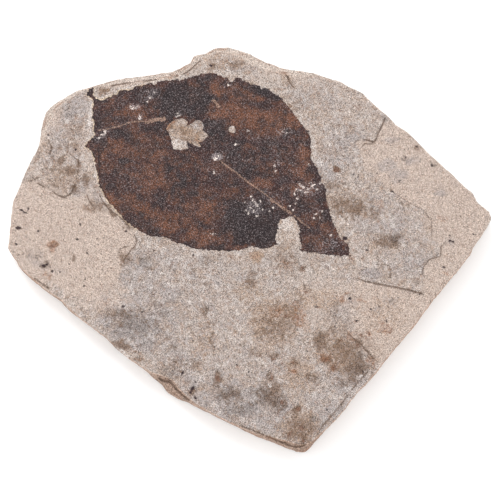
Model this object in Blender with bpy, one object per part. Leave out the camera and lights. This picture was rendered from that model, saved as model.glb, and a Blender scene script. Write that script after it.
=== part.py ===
"""Fossil leaf plate: a broken slab of thin-bedded marl with one carbonised leaf lying in its own imprint.

The plate lies flat with its upper bedding face up. X runs to the right, Y away from the viewer and Z up.
The origin is under the middle of the plate, on the surface that it rests on. Lengths are in millimetres until
they go into a mesh.
"""

import bmesh
import bpy
from mathutils import Vector, noise

MM = 0.001

# Driving dimensions
PLATE_THICKNESS = 10.0
PLAN_MIDDLE = (0.3, 3.44)
BED_HEIGHTS = (0.0, 2.1, 4.3, 6.2, 8.1, PLATE_THICKNESS)
BED_SETBACKS = (0.0, 0.15, 0.4, 0.7, 1.0)
BED_ROUGHNESS = 0.45
BED_WAVE_LENGTH = 9.0
BED_WANDER = 0.3
LEDGE_SLOPE = 0.06
LOWER_ARRIS_HEIGHT = 0.5
LOWER_ARRIS_INSET = 0.9
OUTLINE_STEP = 4.2
OUTLINE_ROUGHNESS = 0.25
SWELL_HEIGHTS = (0.22, 0.14)
SWELL_LENGTHS = (24.0, 15.0)
TOP_CELL = 7.5
FILM_THICKNESS = 0.55
FILM_TOP = PLATE_THICKNESS + 0.05
MIDRIB_HEIGHT = 0.15
MIDRIB_WIDTHS = (1.8, 0.5)
FIT_GAP = 0.3
CUTTER_HEADROOM = 3.0

# The plate seen from above, clockwise from its upper left corner. Each point is x and y on the upper face's
# level, how far inside it the top edge lies (outside it where negative), and how far outside it the foot of the
# broken side lies.
PLATE_OUTLINE = (
    (-69.0, 48.5, 1.8, 2.4), (-66.9, 51.2, 1.8, 2.4), (-59.3, 55.7, 0.9, 2.0), (-53.2, 57.8, 0.9, 1.6),
    (-46.0, 59.6, 1.4, 2.2), (-34.0, 61.0, 2.0, 2.8), (-26.5, 62.0, 2.2, 2.8), (-22.7, 64.1, 1.9, 2.6),
    (-19.0, 66.8, 1.5, 2.2), (-18.9, 68.6, 1.3, 2.0), (-15.2, 69.0, 1.8, 2.4), (-11.7, 71.2, 1.4, 2.4),
    (-7.5, 71.0, 1.8, 2.6), (-1.5, 69.2, 2.4, 2.8), (1.0, 67.2, 2.4, 3.0), (5.0, 65.5, 2.2, 3.0),
    (11.0, 63.4, 1.8, 2.6), (21.6, 62.0, 1.2, 2.2), (30.2, 59.3, 0.6, 2.0), (38.4, 54.6, 0.1, 1.2),
    (42.4, 50.6, 0.1, 1.0), (48.5, 45.2, 0.1, 1.0), (50.0, 43.4, 0.1, 1.0), (53.9, 40.9, 0.1, 1.0),
    (61.3, 32.8, 0.0, 1.0), (72.3, 22.3, 0.0, 1.0), (75.2, 19.7, 0.1, 1.0), (77.0, 16.1, 0.1, 1.0),
    (79.3, 14.6, 0.1, 1.0), (80.8, 13.1, 0.2, 1.0), (81.0, 11.4, 0.0, 1.2), (79.9, 9.8, -0.6, 1.4),
    (76.0, 5.5, -1.8, 1.8), (73.0, 2.0, -2.0, 1.8), (72.0, -0.5, -2.0, 2.0), (67.0, -6.5, -2.3, 2.3),
    (66.4, -7.6, -1.7, 2.0), (64.6, -9.0, -2.2, 2.3), (64.0, -10.5, -1.8, 1.6), (59.0, -16.5, -1.8, 1.4),
    (52.5, -24.5, -2.2, 1.7), (46.5, -31.5, -2.2, 1.8), (42.5, -36.5, -1.9, 1.4), (40.5, -40.0, -1.6, 1.2),
    (36.8, -43.8, -1.6, 1.6), (35.0, -46.0, -1.0, 1.4), (32.8, -47.8, -1.6, 1.5), (26.5, -55.0, -2.1, 2.0),
    (22.0, -60.0, -1.5, 1.9), (19.0, -63.5, -0.5, 1.7), (17.7, -65.1, 0.4, 1.7), (15.8, -64.9, 0.4, 1.6),
    (11.0, -63.0, -0.2, 1.7), (2.5, -59.5, -1.4, 1.9), (-5.5, -56.0, -1.6, 1.7), (-15.5, -51.0, -1.5, 1.6),
    (-20.0, -49.0, -0.6, 1.4), (-23.5, -47.7, 1.0, 1.5), (-26.2, -46.4, 2.4, 1.4), (-27.6, -45.0, 2.4, 1.3),
    (-28.6, -43.4, 1.4, 1.2), (-31.2, -41.0, -0.6, 1.5), (-34.5, -38.0, -1.7, 1.6), (-39.0, -35.0, -1.8, 1.4),
    (-43.5, -31.5, -1.7, 1.2), (-46.5, -28.2, -1.8, 1.5), (-54.5, -22.5, -1.6, 1.4), (-59.0, -19.3, -1.1, 1.6),
    (-61.2, -17.2, -0.8, 1.6), (-62.8, -15.5, -1.1, 1.4), (-67.5, -12.5, -1.2, 1.3), (-73.0, -7.5, -1.4, 1.7),
    (-76.0, -5.0, -1.2, 1.6), (-77.6, -2.5, -1.0, 1.4), (-79.3, -0.8, -0.8, 1.2), (-80.3, 0.8, -0.6, 1.2),
    (-80.3, 3.0, -0.5, 1.2), (-79.8, 11.5, -0.6, 1.2), (-79.2, 17.0, -0.6, 1.2), (-76.2, 24.4, -0.6, 1.2),
    (-72.6, 33.0, -0.4, 1.2), (-70.7, 40.0, 0.6, 2.0), (-70.0, 45.5, 1.8, 2.4),
)

# The leaf's edge, clockwise from the broken leaf stalk at its upper left
LEAF_OUTLINE = (
    (-55.0, 56.0), (-53.5, 56.3), (-53.6, 54.0), (-52.8, 52.6), (-51.0, 52.1), (-49.4, 52.5), (-46.5, 53.7),
    (-45.4, 54.0), (-44.9, 55.1), (-44.0, 55.5), (-40.6, 55.5), (-39.6, 56.5), (-37.6, 56.9), (-35.0, 57.9),
    (-33.8, 58.0), (-32.5, 57.5), (-31.5, 58.3), (-28.7, 59.0), (-26.7, 58.9), (-25.3, 59.4), (-24.3, 58.8),
    (-21.2, 59.8), (-18.8, 60.6), (-17.0, 61.3), (-14.0, 61.7), (-11.6, 61.2), (-8.6, 60.1), (-7.2, 59.4),
    (-6.4, 58.5), (-4.8, 59.6), (-4.0, 59.9), (-2.7, 59.4), (-0.3, 58.0), (3.4, 56.9), (5.5, 56.2),
    (7.9, 54.6), (10.6, 52.8), (12.9, 49.8), (14.6, 47.7), (17.0, 44.2), (18.0, 42.8), (19.7, 41.0),
    (20.4, 39.3), (20.7, 37.5), (20.3, 35.4), (21.0, 33.7), (20.6, 31.6), (21.3, 29.8), (22.6, 28.1),
    (23.9, 23.9), (25.2, 21.7), (25.6, 19.5), (25.5, 17.0), (26.8, 13.0), (28.1, 8.8), (29.1, 6.5),
    (30.1, 4.4), (32.0, 2.4), (33.0, 1.4), (33.0, -0.4), (33.6, -2.0), (28.3, -2.0), (24.0, -1.4),
    (19.3, -0.7), (16.3, 0.0), (17.3, 1.2), (17.0, 2.6), (16.4, 5.4), (16.7, 7.5), (15.7, 9.9),
    (14.6, 11.3), (12.7, 11.2), (11.6, 10.5), (10.0, 10.0), (9.4, 9.0), (9.4, 7.5), (8.5, 4.6),
    (8.3, 3.4), (9.3, 2.0), (8.0, 1.8), (6.7, 0.5), (4.0, 0.6), (0.7, 1.2), (-1.0, 0.7),
    (-4.0, -0.2), (-10.0, -0.2), (-17.3, 0.3), (-20.0, 1.0), (-22.7, 2.0), (-24.2, 2.1), (-28.0, 4.1),
    (-29.7, 4.5), (-32.7, 4.6), (-35.0, 5.4), (-38.0, 7.1), (-40.8, 9.2), (-43.5, 11.9), (-46.0, 14.6),
    (-47.7, 16.4), (-49.4, 19.8), (-50.5, 21.5), (-51.2, 24.6), (-52.0, 28.8), (-53.4, 33.7), (-54.1, 34.7),
    (-55.5, 35.2), (-55.8, 36.0), (-54.9, 37.2), (-53.6, 38.4), (-52.6, 39.6), (-53.1, 41.0), (-53.0, 44.2),
    (-53.6, 45.9), (-53.5, 49.8), (-53.3, 51.4), (-53.9, 52.6), (-54.9, 53.0), (-55.6, 53.8), (-55.3, 54.9),
)

# The midrib's course from the leaf's left edge to its tip
MIDRIB = (
    (-52.0, 41.0), (-49.2, 41.4), (-43.5, 42.9), (-37.4, 44.4), (-34.0, 44.6), (-28.9, 45.6), (-24.0, 43.5),
    (-17.0, 37.0), (-11.2, 31.6), (-5.1, 26.7), (1.7, 21.5), (8.4, 16.4), (14.4, 12.3), (19.4, 7.8),
    (24.0, 4.2), (31.5, -0.6),
)

# Where the film has flaked off the bedding face: the large bare patch and the small round one
BARE_PATCH = (
    (-28.2, 41.4), (-27.5, 43.1), (-26.2, 44.5), (-24.8, 45.2), (-21.8, 45.4), (-20.6, 43.3), (-19.8, 43.2),
    (-19.0, 44.5), (-17.3, 44.9), (-16.0, 43.8), (-15.6, 42.4), (-16.4, 41.3), (-15.9, 40.3), (-14.6, 39.6),
    (-15.3, 38.2), (-16.6, 36.8), (-16.9, 35.4), (-18.3, 35.4), (-19.6, 36.5), (-20.7, 37.2), (-20.8, 35.2),
    (-22.3, 34.5), (-26.4, 34.7), (-26.5, 36.5), (-27.1, 38.2), (-26.8, 39.6),
)
BARE_SPOT = (
    (-7.2, 42.1), (-6.6, 42.8), (-5.7, 42.8), (-5.0, 42.1), (-4.9, 41.3), (-5.6, 40.6), (-6.5, 40.5),
    (-7.1, 41.2),
)

# Where the upper bed has broken away. Each flake is its outline, carried past the plate's edge, its depth at
# the plan's middle, and how much deeper it gets for each millimetre along X and along Y.
FLAKES = {
    "west_flake": (
        (
            (-84.0, 23.0), (-76.0, 23.6), (-72.0, 25.0), (-70.0, 22.5), (-66.5, 20.0), (-64.0, 18.5),
            (-61.5, 18.0), (-60.0, 19.5), (-59.0, 22.2), (-58.0, 23.2), (-56.5, 20.0), (-53.7, 16.0),
            (-51.0, 13.6), (-47.5, 14.0), (-45.5, 12.1), (-43.4, 10.4), (-41.1, 8.2), (-38.8, 6.0),
            (-37.7, 3.0), (-38.4, 1.4), (-39.7, 0.3), (-41.0, -2.0), (-42.6, -4.0), (-45.0, -21.0),
            (-58.0, -29.0), (-84.0, -8.0),
        ),
        0.38, 0.0, 0.019,
    ),
    "east_flake": (
        (
            (52.0, 52.0), (46.4, 47.5), (46.2, 46.0), (45.2, 43.8), (43.8, 40.7), (42.7, 38.2), (42.0, 37.2),
            (39.6, 37.9), (37.3, 38.2), (36.0, 36.8), (37.2, 34.4), (38.2, 29.0), (42.0, 24.6), (48.0, 20.5),
            (51.0, 17.7), (55.7, 15.0), (58.3, 13.6), (61.0, 9.5), (61.0, 3.4), (63.3, 1.4), (63.6, -2.0),
            (60.0, -3.0), (58.0, -5.4), (57.2, -8.4), (57.6, -11.8), (56.6, -14.8), (64.0, -21.0),
            (88.0, 4.0), (86.0, 22.0),
        ),
        0.1, 0.007, 0.001,
    ),
    "south_east_flake": (
        (
            (59.5, -13.6), (56.6, -14.8), (53.0, -13.5), (46.4, -12.1), (42.4, -11.5), (38.0, -10.4),
            (30.0, -9.5), (23.0, -12.0), (24.0, -22.0), (32.0, -27.5), (37.0, -32.4), (41.3, -37.3),
            (46.0, -42.0), (64.0, -22.0), (66.0, -14.0),
        ),
        -0.5, 0.019, 0.0,
    ),
}

# Colours as linear red, green and blue, with roughness
MARL_FINISH = ((0.56, 0.45, 0.38), 0.9)
CARBON_FINISH = ((0.105, 0.07, 0.062), 0.6)


def clear_scene():
    for old in list(bpy.data.objects):
        bpy.data.objects.remove(old, do_unlink=True)


def finish_material(name, finish):
    colour, roughness = finish
    material = bpy.data.materials.new(name)
    material.use_nodes = True
    shader = material.node_tree.nodes["Principled BSDF"]
    shader.inputs["Base Color"].default_value = (*colour, 1.0)
    shader.inputs["Roughness"].default_value = roughness
    shader.inputs["Metallic"].default_value = 0.0
    return material


def plan(x, y, z):
    """A point of the plan as a mesh position in metres."""
    return Vector((x - PLAN_MIDDLE[0], y - PLAN_MIDDLE[1], z)) * MM


def swell(x, y):
    """How far the gently wavy bedding stands above its mean height, in millimetres."""
    first, second = SWELL_LENGTHS
    broad = noise.noise(Vector((x / first, y / first, 0.3)))
    narrow = noise.noise(Vector((x / second, y / second, 7.1)))
    return SWELL_HEIGHTS[0] * broad + SWELL_HEIGHTS[1] * narrow


def ease(value, low, high):
    share = min(1.0, max(0.0, (value - low) / (high - low)))
    return share * share * (3.0 - 2.0 * share)


def outward_normals(points):
    """Unit normals at the corners of a clockwise outline, pointing away from its inside."""
    normals = []
    for index in range(len(points)):
        before = points[index - 1]
        after = points[(index + 1) % len(points)]
        along = Vector((after[0] - before[0], after[1] - before[1])).normalized()
        normals.append(Vector((-along.y, along.x)))
    return normals


def grown(points, distance):
    """The outline with each corner moved outwards by the distance, or inwards where it is negative."""
    normals = outward_normals(points)
    return [(x + n.x * distance, y + n.y * distance) for (x, y), n in zip(points, normals)]


def broken_outline():
    """The plate's outline with points every few millimetres, each pushed in or out as a break is."""
    fine = []
    for index, here in enumerate(PLATE_OUTLINE):
        after = PLATE_OUTLINE[(index + 1) % len(PLATE_OUTLINE)]
        pieces = max(1, round((Vector(after[:2]) - Vector(here[:2])).length / OUTLINE_STEP))
        for piece in range(pieces):
            share = piece / pieces
            fine.append(tuple(a + (b - a) * share for a, b in zip(here, after)))
    broken = []
    for (x, y, rim, foot), normal in zip(fine, outward_normals(fine)):
        push = OUTLINE_ROUGHNESS * noise.noise(Vector((x / 3.0, y / 3.0, 2.0)))
        broken.append((x + normal.x * push, y + normal.y * push, rim, foot))
    return broken


def side_rings(outline):
    """Closed rings of points from the foot of the plate to its top edge, stepping in and out bed by bed."""
    normals = outward_normals(outline)

    def ring(bed, height, extra=0.0):
        points = []
        for (x, y, rim, foot), normal in zip(outline, normals):
            wave = noise.noise(Vector((x / BED_WAVE_LENGTH, y / BED_WAVE_LENGTH, 5.0 * bed)))
            inset = (rim + foot) * BED_SETBACKS[bed] - foot + BED_ROUGHNESS * (0.5 + 0.5 * wave) + extra
            lift = 0.0
            if LOWER_ARRIS_HEIGHT < height < PLATE_THICKNESS:
                nearest = min(BED_HEIGHTS, key=lambda level: abs(level - height))
                lift = BED_WANDER * noise.noise(Vector((x / BED_WAVE_LENGTH, y / BED_WAVE_LENGTH, nearest)))
            points.append((x - normal.x * inset, y - normal.y * inset, height + lift))
        return points

    rings = [ring(0, 0.0, LOWER_ARRIS_INSET), ring(0, LOWER_ARRIS_HEIGHT)]
    for bed in range(1, len(BED_SETBACKS)):
        rings.append(ring(bed - 1, BED_HEIGHTS[bed] - LEDGE_SLOPE))
        rings.append(ring(bed, BED_HEIGHTS[bed] + LEDGE_SLOPE))
    rings.append(ring(len(BED_SETBACKS) - 1, PLATE_THICKNESS))
    return rings


def closed_solid(name, rings):
    """A solid whose sides join one clockwise ring to the next, upwards, with a flat face at each end."""
    mesh = bmesh.new()
    loops = [[mesh.verts.new(plan(*point)) for point in ring] for ring in rings]
    for lower, upper in zip(loops, loops[1:]):
        for index in range(len(lower)):
            after = (index + 1) % len(lower)
            mesh.faces.new((lower[index], upper[index], upper[after], lower[after]))
    mesh.faces.new(loops[0])
    mesh.faces.new(reversed(loops[-1]))
    bmesh.ops.recalc_face_normals(mesh, faces=mesh.faces)
    data = bpy.data.meshes.new(name)
    mesh.to_mesh(data)
    mesh.free()
    solid = bpy.data.objects.new(name, data)
    bpy.context.scene.collection.objects.link(solid)
    return solid


def prism(name, outline, floor, top):
    """An upright solid on a clockwise outline. Its floor is a height, or a function of x and y."""
    height = floor if callable(floor) else (lambda x, y: floor)
    lower = [(x, y, height(x, y)) for x, y in outline]
    upper = [(x, y, top) for x, y in outline]
    return closed_solid(name, [lower, upper])


def combine(target, operation, tool):
    """Cuts the tool's solid out of the target, or joins it on."""
    tool.hide_render = True
    tool.display_type = "WIRE"
    modifier = target.modifiers.new(tool.name, "BOOLEAN")
    modifier.operation = operation
    modifier.solver = "EXACT"
    modifier.object = tool


def apply_modifiers(target):
    """Replaces the object's mesh by what its modifiers make of it."""
    evaluated = target.evaluated_get(bpy.context.evaluated_depsgraph_get())
    made = bpy.data.meshes.new_from_object(evaluated)
    target.modifiers.clear()
    target.data = made


def divide_bedding_faces(mesh, lowest):
    """Cuts the faces that look up from above a height into squares, so that they can follow the swell."""
    for axis in (0, 1):
        low = min(vertex.co[axis] for vertex in mesh.verts)
        high = max(vertex.co[axis] for vertex in mesh.verts)
        count = round((high - low) / (TOP_CELL * MM))
        normal = Vector((axis == 0, axis == 1, 0))
        for index in range(1, count):
            place = normal * (low + (high - low) * index / count)
            flat = [f for f in mesh.faces if f.normal.z > 0.9 and f.calc_center_median().z > lowest * MM]
            parts = set(flat)
            for face in flat:
                parts.update(face.edges)
                parts.update(face.verts)
            bmesh.ops.bisect_plane(mesh, geom=list(parts), dist=0.00008, plane_co=place, plane_no=normal)


def lay_on_swell(solid, lowest):
    """Divides the bedding faces into triangles and gives the upper half of the solid the bedding's swell."""
    mesh = bmesh.new()
    mesh.from_mesh(solid.data)
    mesh.normal_update()
    divide_bedding_faces(mesh, lowest)
    bmesh.ops.triangulate(mesh, faces=mesh.faces[:])
    bmesh.ops.remove_doubles(mesh, verts=mesh.verts[:], dist=0.00001)
    for vertex in mesh.verts:
        x = vertex.co.x / MM + PLAN_MIDDLE[0]
        y = vertex.co.y / MM + PLAN_MIDDLE[1]
        share = ease(vertex.co.z / MM, BED_HEIGHTS[1], BED_HEIGHTS[-2])
        vertex.co.z += swell(x, y) * share * MM
    mesh.to_mesh(solid.data)
    mesh.free()


def imprint_cutter():
    """The hollow that the leaf lies in, with the bare patches left standing."""
    floor = FILM_TOP - FILM_THICKNESS - FIT_GAP
    top = PLATE_THICKNESS + CUTTER_HEADROOM
    cutter = prism("imprint_cutter", grown(LEAF_OUTLINE, FIT_GAP), floor, top)
    for name, outline in (("patch_core", BARE_PATCH), ("spot_core", BARE_SPOT)):
        core = prism(name, grown(outline, -FIT_GAP), floor - CUTTER_HEADROOM, top + CUTTER_HEADROOM)
        combine(cutter, "DIFFERENCE", core)
    return cutter


def build_slab():
    """The marl plate: broken bedded sides, flaked upper bed and the leaf's imprint."""
    slab = closed_solid("slab", side_rings(broken_outline()))
    for name, (outline, depth, along_x, along_y) in FLAKES.items():

        def floor(x, y, depth=depth, along_x=along_x, along_y=along_y):
            return PLATE_THICKNESS - depth - along_x * x - along_y * y

        flake = prism(name, outline, floor, PLATE_THICKNESS + CUTTER_HEADROOM)
        combine(slab, "DIFFERENCE", flake)
    combine(slab, "DIFFERENCE", imprint_cutter())
    apply_modifiers(slab)
    lay_on_swell(slab, BED_HEIGHTS[-2])
    slab.data.materials.clear()
    slab.data.materials.append(finish_material("pale marl", MARL_FINISH))
    return slab


def midrib_strip():
    """The low ridge of the midrib, narrowing from the leaf's left edge to its tip."""
    upper = []
    lower = []
    for index, (x, y) in enumerate(MIDRIB):
        before = Vector(MIDRIB[max(index - 1, 0)])
        after = Vector(MIDRIB[min(index + 1, len(MIDRIB) - 1)])
        along = (after - before).normalized()
        share = index / (len(MIDRIB) - 1)
        half = 0.5 * (MIDRIB_WIDTHS[0] + (MIDRIB_WIDTHS[1] - MIDRIB_WIDTHS[0]) * share)
        upper.append((x - along.y * half, y + along.x * half))
        lower.append((x + along.y * half, y - along.x * half))
    return prism("midrib_strip", upper + lower[::-1], FILM_TOP - FIT_GAP, FILM_TOP + MIDRIB_HEIGHT)


def build_leaf():
    """The carbonised film with its low midrib, a little proud of the bedding face."""
    leaf = prism("leaf", LEAF_OUTLINE, FILM_TOP - FILM_THICKNESS, FILM_TOP)
    combine(leaf, "UNION", midrib_strip())
    for name, outline in (("patch_cutter", BARE_PATCH), ("spot_cutter", BARE_SPOT)):
        bare = prism(name, outline, FILM_TOP - CUTTER_HEADROOM, FILM_TOP + CUTTER_HEADROOM)
        combine(leaf, "DIFFERENCE", bare)
    apply_modifiers(leaf)
    lay_on_swell(leaf, FILM_TOP - FIT_GAP)
    leaf.data.materials.clear()
    leaf.data.materials.append(finish_material("carbonised leaf", CARBON_FINISH))
    return leaf


def main():
    clear_scene()
    build_slab()
    build_leaf()


if __name__ == "__main__":
    main()
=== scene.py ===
"""Fossil leaf plate, finished: the marl slab and the carbonised leaf film as detailed meshes.

Run as a script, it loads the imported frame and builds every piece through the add-on's operators. Lengths are
in millimetres until they go into a mesh. Seen from above, X runs to the right and Y away from the viewer.
"""

import math

import bpy
import numpy as np
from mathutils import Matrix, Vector, noise


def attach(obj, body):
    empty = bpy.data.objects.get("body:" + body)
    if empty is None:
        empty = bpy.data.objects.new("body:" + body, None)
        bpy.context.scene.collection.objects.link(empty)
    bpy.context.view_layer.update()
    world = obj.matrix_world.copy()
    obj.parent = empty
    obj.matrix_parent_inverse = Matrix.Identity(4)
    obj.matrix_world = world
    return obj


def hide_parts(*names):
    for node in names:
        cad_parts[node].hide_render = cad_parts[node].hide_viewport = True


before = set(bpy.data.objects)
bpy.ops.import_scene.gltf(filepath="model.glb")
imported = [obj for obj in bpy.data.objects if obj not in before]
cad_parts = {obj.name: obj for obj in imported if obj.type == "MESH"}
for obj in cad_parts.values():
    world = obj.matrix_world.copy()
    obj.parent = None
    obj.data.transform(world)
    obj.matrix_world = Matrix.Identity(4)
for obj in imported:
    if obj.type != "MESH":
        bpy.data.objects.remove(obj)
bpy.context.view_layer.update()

bl_info = {
    "name": "Fossil leaf plate",
    "version": (1, 0, 0),
    "blender": (4, 5, 0),
    "location": "3D View > Sidebar > Fossil",
    "description": "Builds a broken marl plate with a carbonised fossil leaf on its bedding face",
    "category": "Add Mesh",
}

MM = 0.001

# The camera: a long lens almost straight above, aimed at the middle of the upper face. Marks are listed
# where it sees them, in a picture 500 units wide with its origin at the upper left corner. A unit is a
# third of a millimetre on the plate.
PICTURE_WIDTH = 500.0
LENS = 85.0
SENSOR = 36.0
CAMERA_ELEVATION = 80.0
CAMERA_DISTANCE = 393.7
CAMERA_REACH = (10.0, 20000.0)
MARK_UNIT = 1.0 / 3.0

# The stage: the floor's reach from the middle, how little lower than the plate's underside it lies, so that
# the two faces aren't in one plane, and the round soft light
FLOOR_HALF_WIDTH = 1500.0
FLOOR_DROP = 0.04
KEY_PLACE = (-250.0, 500.0, 550.0)
KEY_WIDTH = 350.0

# Driving dimensions that the solids have too
PLATE_THICKNESS = 10.0
PLAN_MIDDLE = (0.3, 3.44)
BED_HEIGHTS = (0.0, 2.1, 4.3, 6.2, 8.1, PLATE_THICKNESS)
BED_SETBACKS = (0.0, 0.15, 0.4, 0.7, 1.0)
BED_ROUGHNESS = 0.45
BED_WAVE_LENGTH = 9.0
BED_WANDER = 0.3
LEDGE_SLOPE = 0.06
LOWER_ARRIS_HEIGHT = 0.5
LOWER_ARRIS_INSET = 0.9
OUTLINE_STEP = 4.2
OUTLINE_ROUGHNESS = 0.25
OUTLINE_WAVE_LENGTH = 3.0
SWELL_HEIGHTS = (0.22, 0.14)
SWELL_LENGTHS = (24.0, 15.0)
SWELL_LAYERS = (0.3, 7.1)
FILM_THICKNESS = 0.55
FILM_TOP = PLATE_THICKNESS + 0.05
MIDRIB_HEIGHT = 0.15
MIDRIB_WIDTHS = (1.8, 0.5)

# How finely the surfaces are divided
GRID_CELLS = (256, 236)
GRID_CORNERS = ((-80.0, 1.5), (-9.5, 71.0), (80.5, 11.5), (16.7, -64.9))
ROWS_UP_A_BED = 3
EDGE_FADE_CELLS = 8.0
EDGE_SMOOTHINGS = 300
RIM_SAMPLING = 4
SWELL_TABLE_STEP = 1.0
SWELL_TABLE_SPANS = ((-84.0, 86.0), (-69.0, 76.0))
FILM_CELL = 0.3
FILM_CORNERS = ((-58.0, -4.0), (36.0, 64.0))
FILM_EDGE_SHIFT = 0.7
LEAST_STEEPNESS = 0.2
CORNER_MENDINGS = 4

# Relief of the bedding face, of the broken sides and of the underside: depths, widths and wave lengths
BEDDING_LENGTHS = (2.4, 7.0)
STEP_WIDTH = 0.55
STEP_RAGGEDNESS = 0.5
STEP_LENGTH = 3.2
CRACK_DEPTH = 0.12
CRACK_GROOVE = (0.35, 0.1)
RIM_WEAR = 0.22
RIM_WEAR_WIDTHS = (-0.2, 0.8)
RIM_WEAR_LENGTH = 2.6
UPPER_BED = (BED_HEIGHTS[-2] + 0.2, PLATE_THICKNESS)
SIDE_RELIEF = 0.16
SIDE_LENGTH = 3.5
SIDE_FLATNESS = 4.0
SIDE_GRAIN_RELIEF = 0.07
SIDE_GRAIN_LENGTH = 1.3
SIDE_GRAIN_FLATNESS = 7.0
UNDERSIDE_RELIEF = 0.25
UNDERSIDE_LENGTHS = (14.0, 3.0)
UNDERSIDE_EDGE = 6.0

# The film and its imprint: how deep the imprint is and where its wall rises, in from the film's edge, how
# ragged the edge is, the height and length of the film's own waves, where its edge and chips are worn down,
# and over which share of the midrib its relief runs out
IMPRINT_DEPTH = FILM_THICKNESS - 0.05
IMPRINT_EDGE = (0.25, 0.95)
FILM_RAGGEDNESS = 0.45
FILM_RAG_LENGTH = 1.1
FILM_WAVE = (0.05, 6.0)
FILM_GRAIN_LENGTH = 1.6
EDGE_WEAR = 0.05
EDGE_WEAR_REACH = (0.7, 0.0)
CHIP_DEPTH = 0.1
CHIP_WALL = (0.25, -0.15)
MIDRIB_END = (1.0, 0.9)

# Marks: a stain is at its strongest inside the second share of its ellipse and gone outside the first. A
# line tapers over a share of its length at each end, and fades out between two distances from its middle.
STAIN_EDGE = (1.45, 0.35)
STAIN_WANDER = 0.8
STAIN_WANDER_LENGTH = 4.0
FLAKE_FRESHNESS = 0.9
CRACK_END = 0.12
CRACK_FADE = (1.1, 0.8)
VEIN_END = 0.1
VEIN_FADE = (1.4, 1.0)
FADED = 0.5
FAR = 9.0

# Where the imprint's rim has a cream painted highlight and the broken sides have painted shade with brown
# staining towards the viewer: two levels each, from none to full
IMPRINT_HIGHLIGHT_EDGE = (-0.9, -0.1)
IMPRINT_HIGHLIGHT_WEST = (-32.0, -42.0)
RIM_BAND = (0.5, 0.0)
NEAR_SIDES_SHADE_REACH = (14.0, -4.0)

# How the noise in the materials is turned, so that none of its rows show
GRAIN_TURN = (0.6, 0.4, 0.9)
THREAD_GAIN = 10.0

# The plate seen from above, clockwise from its upper left corner. Each point is x and y on the upper face's
# level, how far inside it the top edge lies (outside it where negative), and how far outside it the foot of
# the broken side lies.
PLATE_OUTLINE = (
    (-69.0, 48.5, 1.8, 2.4), (-66.9, 51.2, 1.8, 2.4), (-59.3, 55.7, 0.9, 2.0), (-53.2, 57.8, 0.9, 1.6),
    (-46.0, 59.6, 1.4, 2.2), (-34.0, 61.0, 2.0, 2.8), (-26.5, 62.0, 2.2, 2.8), (-22.7, 64.1, 1.9, 2.6),
    (-19.0, 66.8, 1.5, 2.2), (-18.9, 68.6, 1.3, 2.0), (-15.2, 69.0, 1.8, 2.4), (-11.7, 71.2, 1.4, 2.4),
    (-7.5, 71.0, 1.8, 2.6), (-1.5, 69.2, 2.4, 2.8), (1.0, 67.2, 2.4, 3.0), (5.0, 65.5, 2.2, 3.0),
    (11.0, 63.4, 1.8, 2.6), (21.6, 62.0, 1.2, 2.2), (30.2, 59.3, 0.6, 2.0), (38.4, 54.6, 0.1, 1.2),
    (42.4, 50.6, 0.1, 1.0), (48.5, 45.2, 0.1, 1.0), (50.0, 43.4, 0.1, 1.0), (53.9, 40.9, 0.1, 1.0),
    (61.3, 32.8, 0.0, 1.0), (72.3, 22.3, 0.0, 1.0), (75.2, 19.7, 0.1, 1.0), (77.0, 16.1, 0.1, 1.0),
    (79.3, 14.6, 0.1, 1.0), (80.8, 13.1, 0.2, 1.0), (81.0, 11.4, 0.0, 1.2), (79.9, 9.8, -0.6, 1.4),
    (76.0, 5.5, -1.8, 1.8), (73.0, 2.0, -2.0, 1.8), (72.0, -0.5, -2.0, 2.0), (67.0, -6.5, -2.3, 2.3),
    (66.4, -7.6, -1.7, 2.0), (64.6, -9.0, -2.2, 2.3), (64.0, -10.5, -1.8, 1.6), (59.0, -16.5, -1.8, 1.4),
    (52.5, -24.5, -2.2, 1.7), (46.5, -31.5, -2.2, 1.8), (42.5, -36.5, -1.9, 1.4), (40.5, -40.0, -1.6, 1.2),
    (36.8, -43.8, -1.6, 1.6), (35.0, -46.0, -1.0, 1.4), (32.8, -47.8, -1.6, 1.5), (26.5, -55.0, -2.1, 2.0),
    (22.0, -60.0, -1.5, 1.9), (19.0, -63.5, -0.5, 1.7), (17.7, -65.1, 0.4, 1.7), (15.8, -64.9, 0.4, 1.6),
    (11.0, -63.0, -0.2, 1.7), (2.5, -59.5, -1.4, 1.9), (-5.5, -56.0, -1.6, 1.7), (-15.5, -51.0, -1.5, 1.6),
    (-20.0, -49.0, -0.6, 1.4), (-23.5, -47.7, 1.0, 1.5), (-26.2, -46.4, 2.4, 1.4), (-27.6, -45.0, 2.4, 1.3),
    (-28.6, -43.4, 1.4, 1.2), (-31.2, -41.0, -0.6, 1.5), (-34.5, -38.0, -1.7, 1.6),
    (-39.0, -35.0, -1.8, 1.4), (-43.5, -31.5, -1.7, 1.2), (-46.5, -28.2, -1.8, 1.5),
    (-54.5, -22.5, -1.6, 1.4), (-59.0, -19.3, -1.1, 1.6), (-61.2, -17.2, -0.8, 1.6),
    (-62.8, -15.5, -1.1, 1.4), (-67.5, -12.5, -1.2, 1.3), (-73.0, -7.5, -1.4, 1.7),
    (-76.0, -5.0, -1.2, 1.6), (-77.6, -2.5, -1.0, 1.4), (-79.3, -0.8, -0.8, 1.2), (-80.3, 0.8, -0.6, 1.2),
    (-80.3, 3.0, -0.5, 1.2), (-79.8, 11.5, -0.6, 1.2), (-79.2, 17.0, -0.6, 1.2), (-76.2, 24.4, -0.6, 1.2),
    (-72.6, 33.0, -0.4, 1.2), (-70.7, 40.0, 0.6, 2.0), (-70.0, 45.5, 1.8, 2.4),
)

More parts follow.
